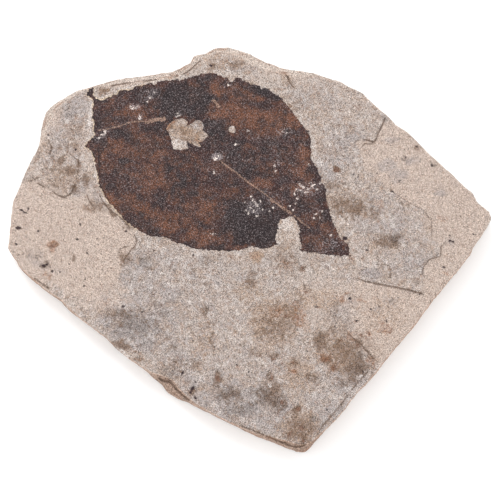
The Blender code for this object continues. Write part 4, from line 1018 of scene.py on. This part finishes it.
def build_film_mesh(settings, material):
    """One closed sheet: a square grid kept where the film is, its edge points moved down the slope of the
    distance onto the film's ragged edge, with an upper face that carries the veins, a lower face and the
    edge between them. Cells that meet only at a corner get a neighbour of both, so that no two sheets share
    a point."""
    low, high = np.array(FILM_CORNERS)
    counts = np.ceil((high - low) / FILM_CELL).astype(int)
    lines = [low[axis] + FILM_CELL * np.arange(counts[axis] + 1) for axis in (0, 1)]
    x, y = np.meshgrid(*lines, indexing="ij")
    cover = film_cover(x, y, FILM_RAGGEDNESS)
    kept = (cover[:-1, :-1] + cover[1:, :-1] + cover[1:, 1:] + cover[:-1, 1:]) > 0.0
    for _ in range(CORNER_MENDINGS):
        falling = kept[:-1, :-1] & kept[1:, 1:] & ~kept[1:, :-1] & ~kept[:-1, 1:]
        rising = kept[1:, :-1] & kept[:-1, 1:] & ~kept[:-1, :-1] & ~kept[1:, 1:]
        kept[1:, :-1] |= falling
        kept[:-1, :-1] |= rising

    framed = np.pad(kept, 1)
    around = framed[:-1, :-1].astype(int) + framed[1:, :-1] + framed[1:, 1:] + framed[:-1, 1:]
    used = around > 0
    edge = used & (around < 4)
    slope_x, slope_y = np.gradient(cover, FILM_CELL)
    steep = np.maximum(slope_x**2 + slope_y**2, LEAST_STEEPNESS)
    farthest = FILM_EDGE_SHIFT * FILM_CELL
    shift_x = np.clip(-cover * slope_x / steep, -farthest, farthest)
    shift_y = np.clip(-cover * slope_y / steep, -farthest, farthest)
    x = (x + np.where(edge, shift_x, 0.0))[used]
    y = (y + np.where(edge, shift_y, 0.0))[used]
    numbers = np.full(used.shape, -1)
    numbers[used] = np.arange(len(x))

    cover = film_cover(x, y)
    along, share = line_distance(x, y, MIDRIB)
    half = 0.5 * (MIDRIB_WIDTHS[0] + (MIDRIB_WIDTHS[1] - MIDRIB_WIDTHS[0]) * share)
    veins = MIDRIB_HEIGHT * np.exp(-((along / half) ** 2)) * ease(share, *MIDRIB_END)
    side_line, _ = cracked(x, y, [(0.0, course) for course in SIDE_VEINS])
    veins = veins + SIDE_VEIN_HEIGHT * np.exp(-((side_line / SIDE_VEIN_HALF_WIDTH) ** 2))
    chips = speck_distance(x, y, FILM_CHIPS)
    wave_height, wave_length = FILM_WAVE
    waves = wave_height * rough(x, y, wave_length, 45)
    grain = settings.relief / MM * rough(x, y, FILM_GRAIN_LENGTH, 41) + waves
    worn = EDGE_WEAR * ease(cover, *EDGE_WEAR_REACH) + CHIP_DEPTH * ease(chips, *CHIP_WALL)
    height = FILM_TOP + SWELL(x, y) + settings.proud / MM + veins + grain - worn
    floor = FILM_TOP - FILM_THICKNESS + SWELL(x, y)

    count = len(x)
    upper = numbers
    lower = np.where(numbers >= 0, numbers + count, -1)
    corners = [upper[:-1, :-1], upper[1:, :-1], upper[1:, 1:], upper[:-1, 1:]]
    tops = np.stack([corner[kept] for corner in corners], axis=1)
    faces = tops.tolist() + (tops[:, ::-1] + count).tolist()
    beyond = (
        (framed[2:, 1:-1], (1, 0), (1, 1)),
        (framed[:-2, 1:-1], (0, 1), (0, 0)),
        (framed[1:-1, 2:], (1, 1), (0, 1)),
        (framed[1:-1, :-2], (0, 0), (1, 0)),
    )
    for neighbour, (ai, aj), (bi, bj) in beyond:
        i, j = np.nonzero(kept & ~neighbour)
        first, second = (i + ai, j + aj), (i + bi, j + bj)
        faces += np.stack([lower[first], lower[second], upper[second], upper[first]], axis=1).tolist()

    points = np.vstack([np.column_stack([x, y, height]), np.column_stack([x, y, floor])])
    fields = {name: stained(x, y, marks) for name, marks in FILM_TONES.items()}
    fields |= {"chip": chips, "cover": cover}
    fields["vein"], fields["vein_half"] = cracked(x, y, PALE_VEINS, VEIN_END, VEIN_FADE)
    creases = [(CREASE_HALF_WIDTH, course) for course in CREASES]
    fields["crease"], fields["crease_half"] = cracked(x, y, creases)
    fields = {name: np.concatenate([values, values]) for name, values in fields.items()}
    return add_mesh("leaf_film", points, faces, fields, material)


def add_node(tree, kind, inputs=None, **settings):
    """Adds a shader node, gives it its settings, and sets or links its inputs."""
    made = tree.nodes.new("ShaderNode" + kind)
    for name, value in settings.items():
        setattr(made, name, value)
    for socket, value in (inputs or {}).items():
        if isinstance(value, bpy.types.NodeSocket):
            tree.links.new(value, made.inputs[socket])
        else:
            made.inputs[socket].default_value = value
    return made


def grain_of(tree, place, size, detail=2.0):
    """Noise of that grain size in millimetres, 0 to 1."""
    inputs = {"Vector": place, "Scale": 1.0 / (size * MM), "Detail": detail, "Roughness": 0.65}
    return add_node(tree, "TexNoise", inputs).outputs["Fac"]


def thread_of(tree, place, size, half_width):
    """Thin wandering lines: how far inside a band of that half width round the middle level of a noise a
    place is, some times over."""
    inputs = {0: grain_of(tree, place, size, 4.0), 1: 0.5}
    level = add_node(tree, "Math", inputs, operation="SUBTRACT").outputs[0]
    away = add_node(tree, "Math", {0: level}, operation="ABSOLUTE").outputs[0]
    inputs = {0: away, 1: -THREAD_GAIN, 2: THREAD_GAIN * half_width}
    return add_node(tree, "Math", inputs, operation="MULTIPLY_ADD").outputs[0]


def field_of(tree, field):
    """A mesh attribute's value, or a socket as it is. For a line and its half width it is how far inside the
    line a place is."""
    if field is None or isinstance(field, bpy.types.NodeSocket):
        return field or 0.0
    if isinstance(field, str):
        return add_node(tree, "Attribute", attribute_name=field).outputs["Fac"]
    line, half = (field_of(tree, name) for name in field)
    distance = add_node(tree, "Math", {0: line}, operation="ABSOLUTE").outputs[0]
    return add_node(tree, "Math", {0: half, 1: distance}, operation="SUBTRACT").outputs[0]


def laid_over(tree, place, colour, detail, layers):
    """Colours laid one over another. Each layer is a field, a grain size in millimetres, the grain's share,
    a low and a high level, a strength and a colour. It covers where its field plus its share of the grain,
    from minus half the share to plus half, goes from the low level to the high one, up to its strength."""
    for field, size, share, low, high, strength, tint in layers:
        grain = grain_of(tree, place, size, detail)
        inputs = {0: grain, 1: share, 2: field_of(tree, field)}
        total = add_node(tree, "Math", inputs, operation="MULTIPLY_ADD").outputs[0]
        inputs = {
            "Value": total, "From Min": low + share / 2, "From Max": high + share / 2, "To Max": strength,
        }
        cover = add_node(tree, "MapRange", inputs, interpolation_type="SMOOTHSTEP")
        inputs = {0: cover.outputs["Result"], 6: colour, 7: (*tint, 1.0)}
        colour = add_node(tree, "Mix", inputs, data_type="RGBA").outputs[2]
    return colour


def new_material(name, roughness, specular, body):
    """A material with its tree, its shader, the place in object coordinates, the place that its grain reads,
    which is turned so that no rows of the noise show, and its body colour."""
    material = bpy.data.materials.new(name)
    material.use_nodes = True
    tree = material.node_tree
    shader = tree.nodes["Principled BSDF"]
    shader.inputs["Roughness"].default_value = roughness
    shader.inputs["Specular IOR Level"].default_value = specular
    upright = add_node(tree, "TexCoord").outputs["Object"]
    place = add_node(tree, "Mapping", {"Vector": upright, "Rotation": GRAIN_TURN}).outputs["Vector"]
    colour = add_node(tree, "RGB").outputs[0]
    colour.default_value = (*body, 1.0)
    return material, tree, shader, upright, place, colour


def finish_with(tree, shader, place, colour, grain, contrast, bumps):
    """Makes the colour lighter and darker by the finest grain and links it, with bumps of each grain size
    and depth in millimetres."""
    inputs = {
        "Value": grain_of(tree, place, grain), "From Min": 0.25, "From Max": 0.75,
        "To Min": -1.0, "To Max": 1.0,
    }
    value = add_node(tree, "MapRange", inputs).outputs["Result"]
    value = add_node(tree, "Math", {0: value, 1: contrast, 2: 1.0}, operation="MULTIPLY_ADD").outputs[0]
    varied = add_node(tree, "HueSaturation", {"Color": colour, "Value": value}).outputs["Color"]
    tree.links.new(varied, shader.inputs["Base Color"])
    normal = None
    for size, depth in bumps:
        inputs = {"Height": grain_of(tree, place, size, 3.0), "Distance": depth * MM, "Strength": 1.0}
        if normal:
            inputs["Normal"] = normal
        normal = add_node(tree, "Bump", inputs).outputs["Normal"]
    tree.links.new(normal, shader.inputs["Normal"])


def marl_material(settings):
    """Marl, split along its bedding: a matt, chalky stone with a fine salt-and-pepper grain. Where the
    upper lamina is weathered it is greyer and more speckled, with small grey clouds, and fresh breaks are
    beige and even. Clay and iron leave brown and rusty stains and crisp flecks, and manganese and plant
    matter leave dark specks. Pale chalk marks also give painted highlights on lit rims beside the imprint and
    some cracks, the imprint's western rim has a cream painted highlight, and the dark lines are stain in the
    cracks and painted shade at the foot of the steps. The broken sides are streaked along the bedding, pale,
    and darker at the near side with painted shade as well as brown staining."""
    material, tree, shader, upright, place, colour = new_material("split marl", 0.92, 0.2, settings.base)
    threads = thread_of(tree, place, 4.5, 0.02)
    colour = laid_over(tree, place, colour, 3.0, (
        ("grey", 5.0, 1.6, 0.0, 0.8, 0.85, settings.weathered),
        (None, 6.0, 1.0, 0.0, 0.14, 0.35, settings.tan),
        (None, 4.1, 1.0, 0.0, 0.14, 0.35, settings.weathered),
        (None, 2.7, 1.0, 0.0, 0.14, 0.35, settings.pale),
        (None, 2.2, 1.0, 0.02, 0.14, 0.35, settings.tan),
        (None, 1.9, 1.0, 0.04, 0.16, 0.25, settings.brown),
        (None, 1.3, 1.0, 0.05, 0.17, 0.25, settings.rust),
        (None, 1.05, 1.0, 0.03, 0.16, 0.25, settings.pale),
        (None, 0.95, 1.0, 0.06, 0.18, 0.35, settings.brown),
        ("fresh", 2.5, 1.6, 0.1, 0.9, 0.85, settings.fresh),
        ("cloud", 2.2, 1.4, 0.1, 0.9, 0.6, settings.weathered),
        ("broken", 2.0, 0.8, 0.1, 0.9, 0.75, settings.sides),
        # Painted shade, with brown staining, on the broken sides towards the viewer
        ("dingy", 2.0, 0.8, 0.1, 0.9, 0.9, settings.dingy),
        ("tan", 0.85, 1.6, 0.2, 0.8, 0.75, settings.tan),
        ("brown", 1.6, 2.1, 0.05, 0.9, 0.78, settings.brown),
        ("rust", 1.3, 2.4, 0.1, 1.1, 0.7, settings.rust),
        # Chalky places, and painted highlights on lit rims
        ("chalk", 0.9, 1.8, 0.2, 0.9, 0.8, settings.pale),
        ("soot", 1.3, 1.8, 0.14, 1.0, 0.5, settings.soot),
        # Cream painted highlight along the imprint's western rim
        ("margin", 0.8, 1.6, 0.3, 1.0, 0.7, settings.margin),
        (threads, 1.3, 0.9, 0.1, 0.3, 0.5, settings.brown),
        (None, 0.6, 1.0, 0.1, 0.18, 0.45, settings.soot),
        (None, 0.6, 1.0, 0.08, 0.18, 0.25, settings.pale),
        # Dark lines: stain in the cracks, and painted shade at the foot of the steps
        (("crack_a", "crack_a_half"), 1.2, 1.0, -0.28, 0.16, 0.78, settings.crack),
        (("crack_b", "crack_b_half"), 1.25, 1.0, -0.28, 0.16, 0.7, settings.crack),
        ("fleck", 0.5, 1.6, 0.14, -0.16, 0.65, settings.fleck),
        ("speck", 0.5, 0.6, 0.16, -0.1, 0.95, settings.speck),
    ))
    stretched = add_node(tree, "Mapping", {"Vector": upright, "Scale": (0.12, 0.12, 1.6)}).outputs["Vector"]
    inputs = {"Value": grain_of(tree, stretched, 0.9, 3.0), "From Min": 0.5, "From Max": 0.64, "To Max": 0.5}
    streaked = add_node(tree, "MapRange", inputs).outputs["Result"]
    inputs = {0: streaked, 1: field_of(tree, "broken")}
    side = add_node(tree, "Math", inputs, operation="MULTIPLY").outputs[0]
    inputs = {0: side, 6: colour, 7: (*settings.rust, 1.0)}
    colour = add_node(tree, "Mix", inputs, data_type="RGBA").outputs[2]
    inputs = {0: field_of(tree, "fresh"), 1: -0.2, 2: 1.3}
    contrast = add_node(tree, "Math", inputs, operation="MULTIPLY_ADD").outputs[0]
    finish_with(tree, shader, place, colour, settings.grain / MM, contrast, ((1.4, 0.3), (0.36, 0.14)))
    return material


def film_material(settings):
    """Carbonised leaf: a thin film of coal and iron-stained clay, brown to blue-black in clumps, with a dull
    sheen. Light grains of stone show through it, with painted sheen in its pale blue-grey patches, and the
    stone itself in chips and along the midrib."""
    material, tree, shader, _, place, colour = new_material("carbonised leaf film", 0.65, 0.2, settings.body)
    colour = laid_over(tree, place, colour, 1.5, (
        (None, 6.0, 1.0, -0.05, 0.15, 0.45, settings.rust),
        ("rust", 3.6, 2.2, 0.05, 0.95, 0.9, settings.rust),
        (None, 4.2, 1.0, -0.02, 0.14, 0.6, settings.black),
        (None, 2.9, 1.0, 0.02, 0.16, 0.35, settings.rust),
        ("black", 3.0, 2.0, 0.05, 0.85, 0.88, settings.black),
        (None, 2.3, 1.0, 0.02, 0.16, 0.4, settings.black),
        (None, 1.2, 1.0, 0.02, 0.16, 0.15, settings.black),
        # Grains of stone, and painted sheen in the blue-grey patches
        ("dusting", 0.55, 4.0, 0.6, 1.5, 0.55, settings.dust),
        (None, 0.5, 1.0, 0.06, 0.17, 0.2, settings.dust),
        (None, 0.38, 1.0, 0.07, 0.13, 0.3, settings.dust),
        (("vein", "vein_half"), 0.8, 1.2, -0.14, 0.16, 0.75, settings.vein),
        (("crease", "crease_half"), 0.9, 0.8, -0.3, 0.1, 0.8, settings.black),
        ("cover", 0.9, 1.0, 0.6, 0.1, 0.2, settings.black),
        ("chip", 0.5, 1.4, 0.1, -0.12, 0.9, settings.stone),
    ))
    finish_with(tree, shader, place, colour, settings.grain / MM, 1.8, ((1.2, 0.22), (0.34, 0.13)))
    return material


# Marl's own grains are silt, under 0.06 mm, and the film's are finer still. Both are drawn nearly as coarse
# as a picture unit, a third of a millimetre, because finer ones wouldn't show.
class FossilSlabSettings(bpy.types.PropertyGroup):
    """Relief, grain and colours of the stone."""

    relief: bpy.props.FloatProperty(
        name="Relief", description="Height of the bedding face's roughness", default=0.045 * MM, min=0.0,
        subtype="DISTANCE", unit="LENGTH", precision=6,
    )
    grain: bpy.props.FloatProperty(
        name="Grain", description="Size of the stone's light and dark grains", default=0.27 * MM, min=0.0001,
        subtype="DISTANCE", unit="LENGTH", precision=6,
    )
    base: bpy.props.FloatVectorProperty(
        name="Marl", description="Colour of the marl", default=linear("#A89B93"), subtype="COLOR", min=0.0,
        max=1.0,
    )
    fresh: bpy.props.FloatVectorProperty(
        name="Fresh marl", description="Colour of fresh breaks", default=linear("#B4A398"), subtype="COLOR",
        min=0.0, max=1.0,
    )
    weathered: bpy.props.FloatVectorProperty(
        name="Weathered marl", description="Colour of the weathered lamina", default=linear("#978F8D"),
        subtype="COLOR", min=0.0, max=1.0,
    )
    # Also the colour of the painted highlights on lit rims
    pale: bpy.props.FloatVectorProperty(
        name="Chalk", description="Colour of chalky places", default=linear("#CBC3BF"), subtype="COLOR",
        min=0.0, max=1.0,
    )
    tan: bpy.props.FloatVectorProperty(
        name="Tan stain", description="Colour of the stone under flaked film", default=linear("#957C68"),
        subtype="COLOR", min=0.0, max=1.0,
    )
    brown: bpy.props.FloatVectorProperty(
        name="Brown stain", description="Colour of clay and iron stains", default=linear("#675142"),
        subtype="COLOR", min=0.0, max=1.0,
    )
    rust: bpy.props.FloatVectorProperty(
        name="Rust stain", description="Colour of the reddest stains", default=linear("#8A6249"),
        subtype="COLOR", min=0.0, max=1.0,
    )
    soot: bpy.props.FloatVectorProperty(
        name="Dark specks", description="Colour of manganese and plant specks", default=linear("#423833"),
        subtype="COLOR", min=0.0, max=1.0,
    )
    # Colour of the painted highlight on the imprint's sloping western rim
    margin: bpy.props.FloatVectorProperty(
        name="Margin", description="Colour of the cream rim of the leaf's imprint",
        default=linear("#BBA68E"), subtype="COLOR", min=0.0, max=1.0,
    )
    sides: bpy.props.FloatVectorProperty(
        name="Sides", description="Colour of the broken sides", default=linear("#C5B9B0"), subtype="COLOR",
        min=0.0, max=1.0,
    )
    # Painted shade, with brown staining, of the broken sides towards the viewer
    dingy: bpy.props.FloatVectorProperty(
        name="Lower sides", description="Colour of the broken sides towards the viewer",
        default=linear("#AF9788"), subtype="COLOR", min=0.0, max=1.0,
    )
    fleck: bpy.props.FloatVectorProperty(
        name="Rusty specks", description="Colour of the crisp specks of iron oxide",
        default=linear("#6C4C3D"), subtype="COLOR", min=0.0, max=1.0,
    )
    speck: bpy.props.FloatVectorProperty(
        name="Plant specks", description="Colour of the crisp specks of plant matter",
        default=linear("#33272A"), subtype="COLOR", min=0.0, max=1.0,
    )
    # Colour of the stain in the cracks and of the painted shade at the foot of the bed steps
    crack: bpy.props.FloatVectorProperty(
        name="Cracks", description="Colour of the stain in cracks", default=linear("#574438"),
        subtype="COLOR", min=0.0, max=1.0,
    )


class FossilLeafSettings(bpy.types.PropertyGroup):
    """Relief, grain and colours of the leaf film."""

    proud: bpy.props.FloatProperty(
        name="Proud", description="How far the film stands above its solid", default=0.03 * MM, min=0.0,
        subtype="DISTANCE", unit="LENGTH", precision=6,
    )
    relief: bpy.props.FloatProperty(
        name="Relief", description="Height of the film's roughness", default=0.035 * MM, min=0.0,
        subtype="DISTANCE", unit="LENGTH", precision=6,
    )
    grain: bpy.props.FloatProperty(
        name="Grain", description="Size of the film's grains", default=0.28 * MM, min=0.0001,
        subtype="DISTANCE", unit="LENGTH", precision=6,
    )
    body: bpy.props.FloatVectorProperty(
        name="Film", description="Colour of the film", default=linear("#372321"), subtype="COLOR", min=0.0,
        max=1.0,
    )
    rust: bpy.props.FloatVectorProperty(
        name="Rust", description="Colour of the iron-stained film", default=linear("#64402F"),
        subtype="COLOR", min=0.0, max=1.0,
    )
    black: bpy.props.FloatVectorProperty(
        name="Coal", description="Colour of the thickest film", default=linear("#241C1E"), subtype="COLOR",
        min=0.0, max=1.0,
    )
    # Also the colour of the painted sheen on the film
    dust: bpy.props.FloatVectorProperty(
        name="Stone grains", description="Colour of the grains on the film", default=linear("#9B9192"),
        subtype="COLOR", min=0.0, max=1.0,
    )
    vein: bpy.props.FloatVectorProperty(
        name="Veins", description="Colour of the bare midrib", default=linear("#8F7567"), subtype="COLOR",
        min=0.0, max=1.0,
    )
    stone: bpy.props.FloatVectorProperty(
        name="Chips", description="Colour of the stone in chips of the film", default=linear("#CABDB6"),
        subtype="COLOR", min=0.0, max=1.0,
    )


class FossilStageSettings(bpy.types.PropertyGroup):
    """Floor and light."""

    floor: bpy.props.FloatVectorProperty(
        name="Floor", description="Colour of the floor", default=linear("#FFFFFF"), subtype="COLOR",
        min=0.0, max=1.0,
    )
    key_power: bpy.props.FloatProperty(
        name="Key light", description="Power of the soft light above the plate's far side", default=2.4,
        min=0.0, unit="POWER",
    )
    sky: bpy.props.FloatProperty(
        name="Sky", description="Strength of the even light from all around", default=1.19, min=0.0,
    )


class FOSSIL_OT_slab(bpy.types.Operator):
    """Builds the marl slab"""

    bl_idname = "fossil.slab"
    bl_label = "Marl slab"

    def execute(self, context):
        settings = context.scene.fossil_slab
        piece = build_slab_mesh(settings, marl_material(settings))
        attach(piece, "root")
        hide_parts("slab")
        return {"FINISHED"}


class FOSSIL_OT_leaf(bpy.types.Operator):
    """Builds the carbonised leaf film"""

    bl_idname = "fossil.leaf"
    bl_label = "Leaf film"

    def execute(self, context):
        settings = context.scene.fossil_leaf
        piece = build_film_mesh(settings, film_material(settings))
        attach(piece, "root")
        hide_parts("leaf")
        return {"FINISHED"}


class FOSSIL_OT_stage(bpy.types.Operator):
    """Builds the floor, the lights and the camera"""

    bl_idname = "fossil.stage"
    bl_label = "Stage"

    def execute(self, context):
        settings = context.scene.fossil_stage
        scene = context.scene
        scene.view_settings.view_transform = "Standard"

        half = FLOOR_HALF_WIDTH * MM
        low = -FLOOR_DROP * MM
        corners = [(-half, -half, low), (half, -half, low), (half, half, low), (-half, half, low)]
        mesh = bpy.data.meshes.new("floor")
        mesh.from_pydata(corners, [], [(0, 1, 2, 3)])
        material = bpy.data.materials.new("white card")
        material.use_nodes = True
        shader = material.node_tree.nodes["Principled BSDF"]
        shader.inputs["Base Color"].default_value = (*settings.floor, 1.0)
        shader.inputs["Roughness"].default_value = 0.9
        shader.inputs["Specular IOR Level"].default_value = 0.0
        mesh.materials.append(material)
        floor = bpy.data.objects.new("floor", mesh)
        scene.collection.objects.link(floor)

        world = bpy.data.worlds.new("studio")
        world.use_nodes = True
        background = world.node_tree.nodes["Background"]
        background.inputs["Color"].default_value = (1.0, 1.0, 1.0, 1.0)
        background.inputs["Strength"].default_value = settings.sky
        scene.world = world

        target = Vector((-PLAN_MIDDLE[0], -PLAN_MIDDLE[1], PLATE_THICKNESS)) * MM
        light = bpy.data.lights.new("key", "AREA")
        light.shape = "DISK"
        light.size = KEY_WIDTH * MM
        light.energy = settings.key_power
        key = bpy.data.objects.new("key", light)
        key.location = Vector(KEY_PLACE) * MM
        key.rotation_mode = "QUATERNION"
        key.rotation_quaternion = (target - key.location).to_track_quat("-Z", "Y")
        scene.collection.objects.link(key)

        tilt = math.radians(CAMERA_ELEVATION)
        lens = bpy.data.cameras.new("camera")
        lens.lens = LENS
        lens.sensor_width = SENSOR
        lens.clip_start, lens.clip_end = (distance * MM for distance in CAMERA_REACH)
        camera = bpy.data.objects.new("camera", lens)
        camera.location = target + Vector((0.0, -math.cos(tilt), math.sin(tilt))) * CAMERA_DISTANCE * MM
        camera.rotation_mode = "QUATERNION"
        camera.rotation_quaternion = (target - camera.location).to_track_quat("-Z", "Y")
        scene.collection.objects.link(camera)
        scene.camera = camera
        return {"FINISHED"}


class FOSSIL_PT_plate(bpy.types.Panel):
    """The plate's pieces and their settings"""

    bl_idname = "FOSSIL_PT_plate"
    bl_label = "Fossil leaf plate"
    bl_space_type = "VIEW_3D"
    bl_region_type = "UI"
    bl_category = "Fossil"

    def draw(self, context):
        for operator, name in zip(OPERATORS, SETTINGS):
            box = self.layout.box()
            settings = getattr(context.scene, name)
            for field in settings.bl_rna.properties:
                if field.identifier not in ("rna_type", "name"):
                    box.prop(settings, field.identifier)
            box.operator(operator.bl_idname)


SETTINGS = {
    "fossil_slab": FossilSlabSettings,
    "fossil_leaf": FossilLeafSettings,
    "fossil_stage": FossilStageSettings,
}
OPERATORS = (FOSSIL_OT_slab, FOSSIL_OT_leaf, FOSSIL_OT_stage)


def register():
    for name, group in SETTINGS.items():
        bpy.utils.register_class(group)
        setattr(bpy.types.Scene, name, bpy.props.PointerProperty(type=group))
    for made in (*OPERATORS, FOSSIL_PT_plate):
        bpy.utils.register_class(made)


def unregister():
    for made in reversed((*OPERATORS, FOSSIL_PT_plate)):
        bpy.utils.unregister_class(made)
    for name, group in reversed(SETTINGS.items()):
        delattr(bpy.types.Scene, name)
        bpy.utils.unregister_class(group)


def main():
    register()
    bpy.ops.fossil.slab()
    bpy.ops.fossil.leaf()
    bpy.ops.fossil.stage()


if __name__ == "__main__":
    main()
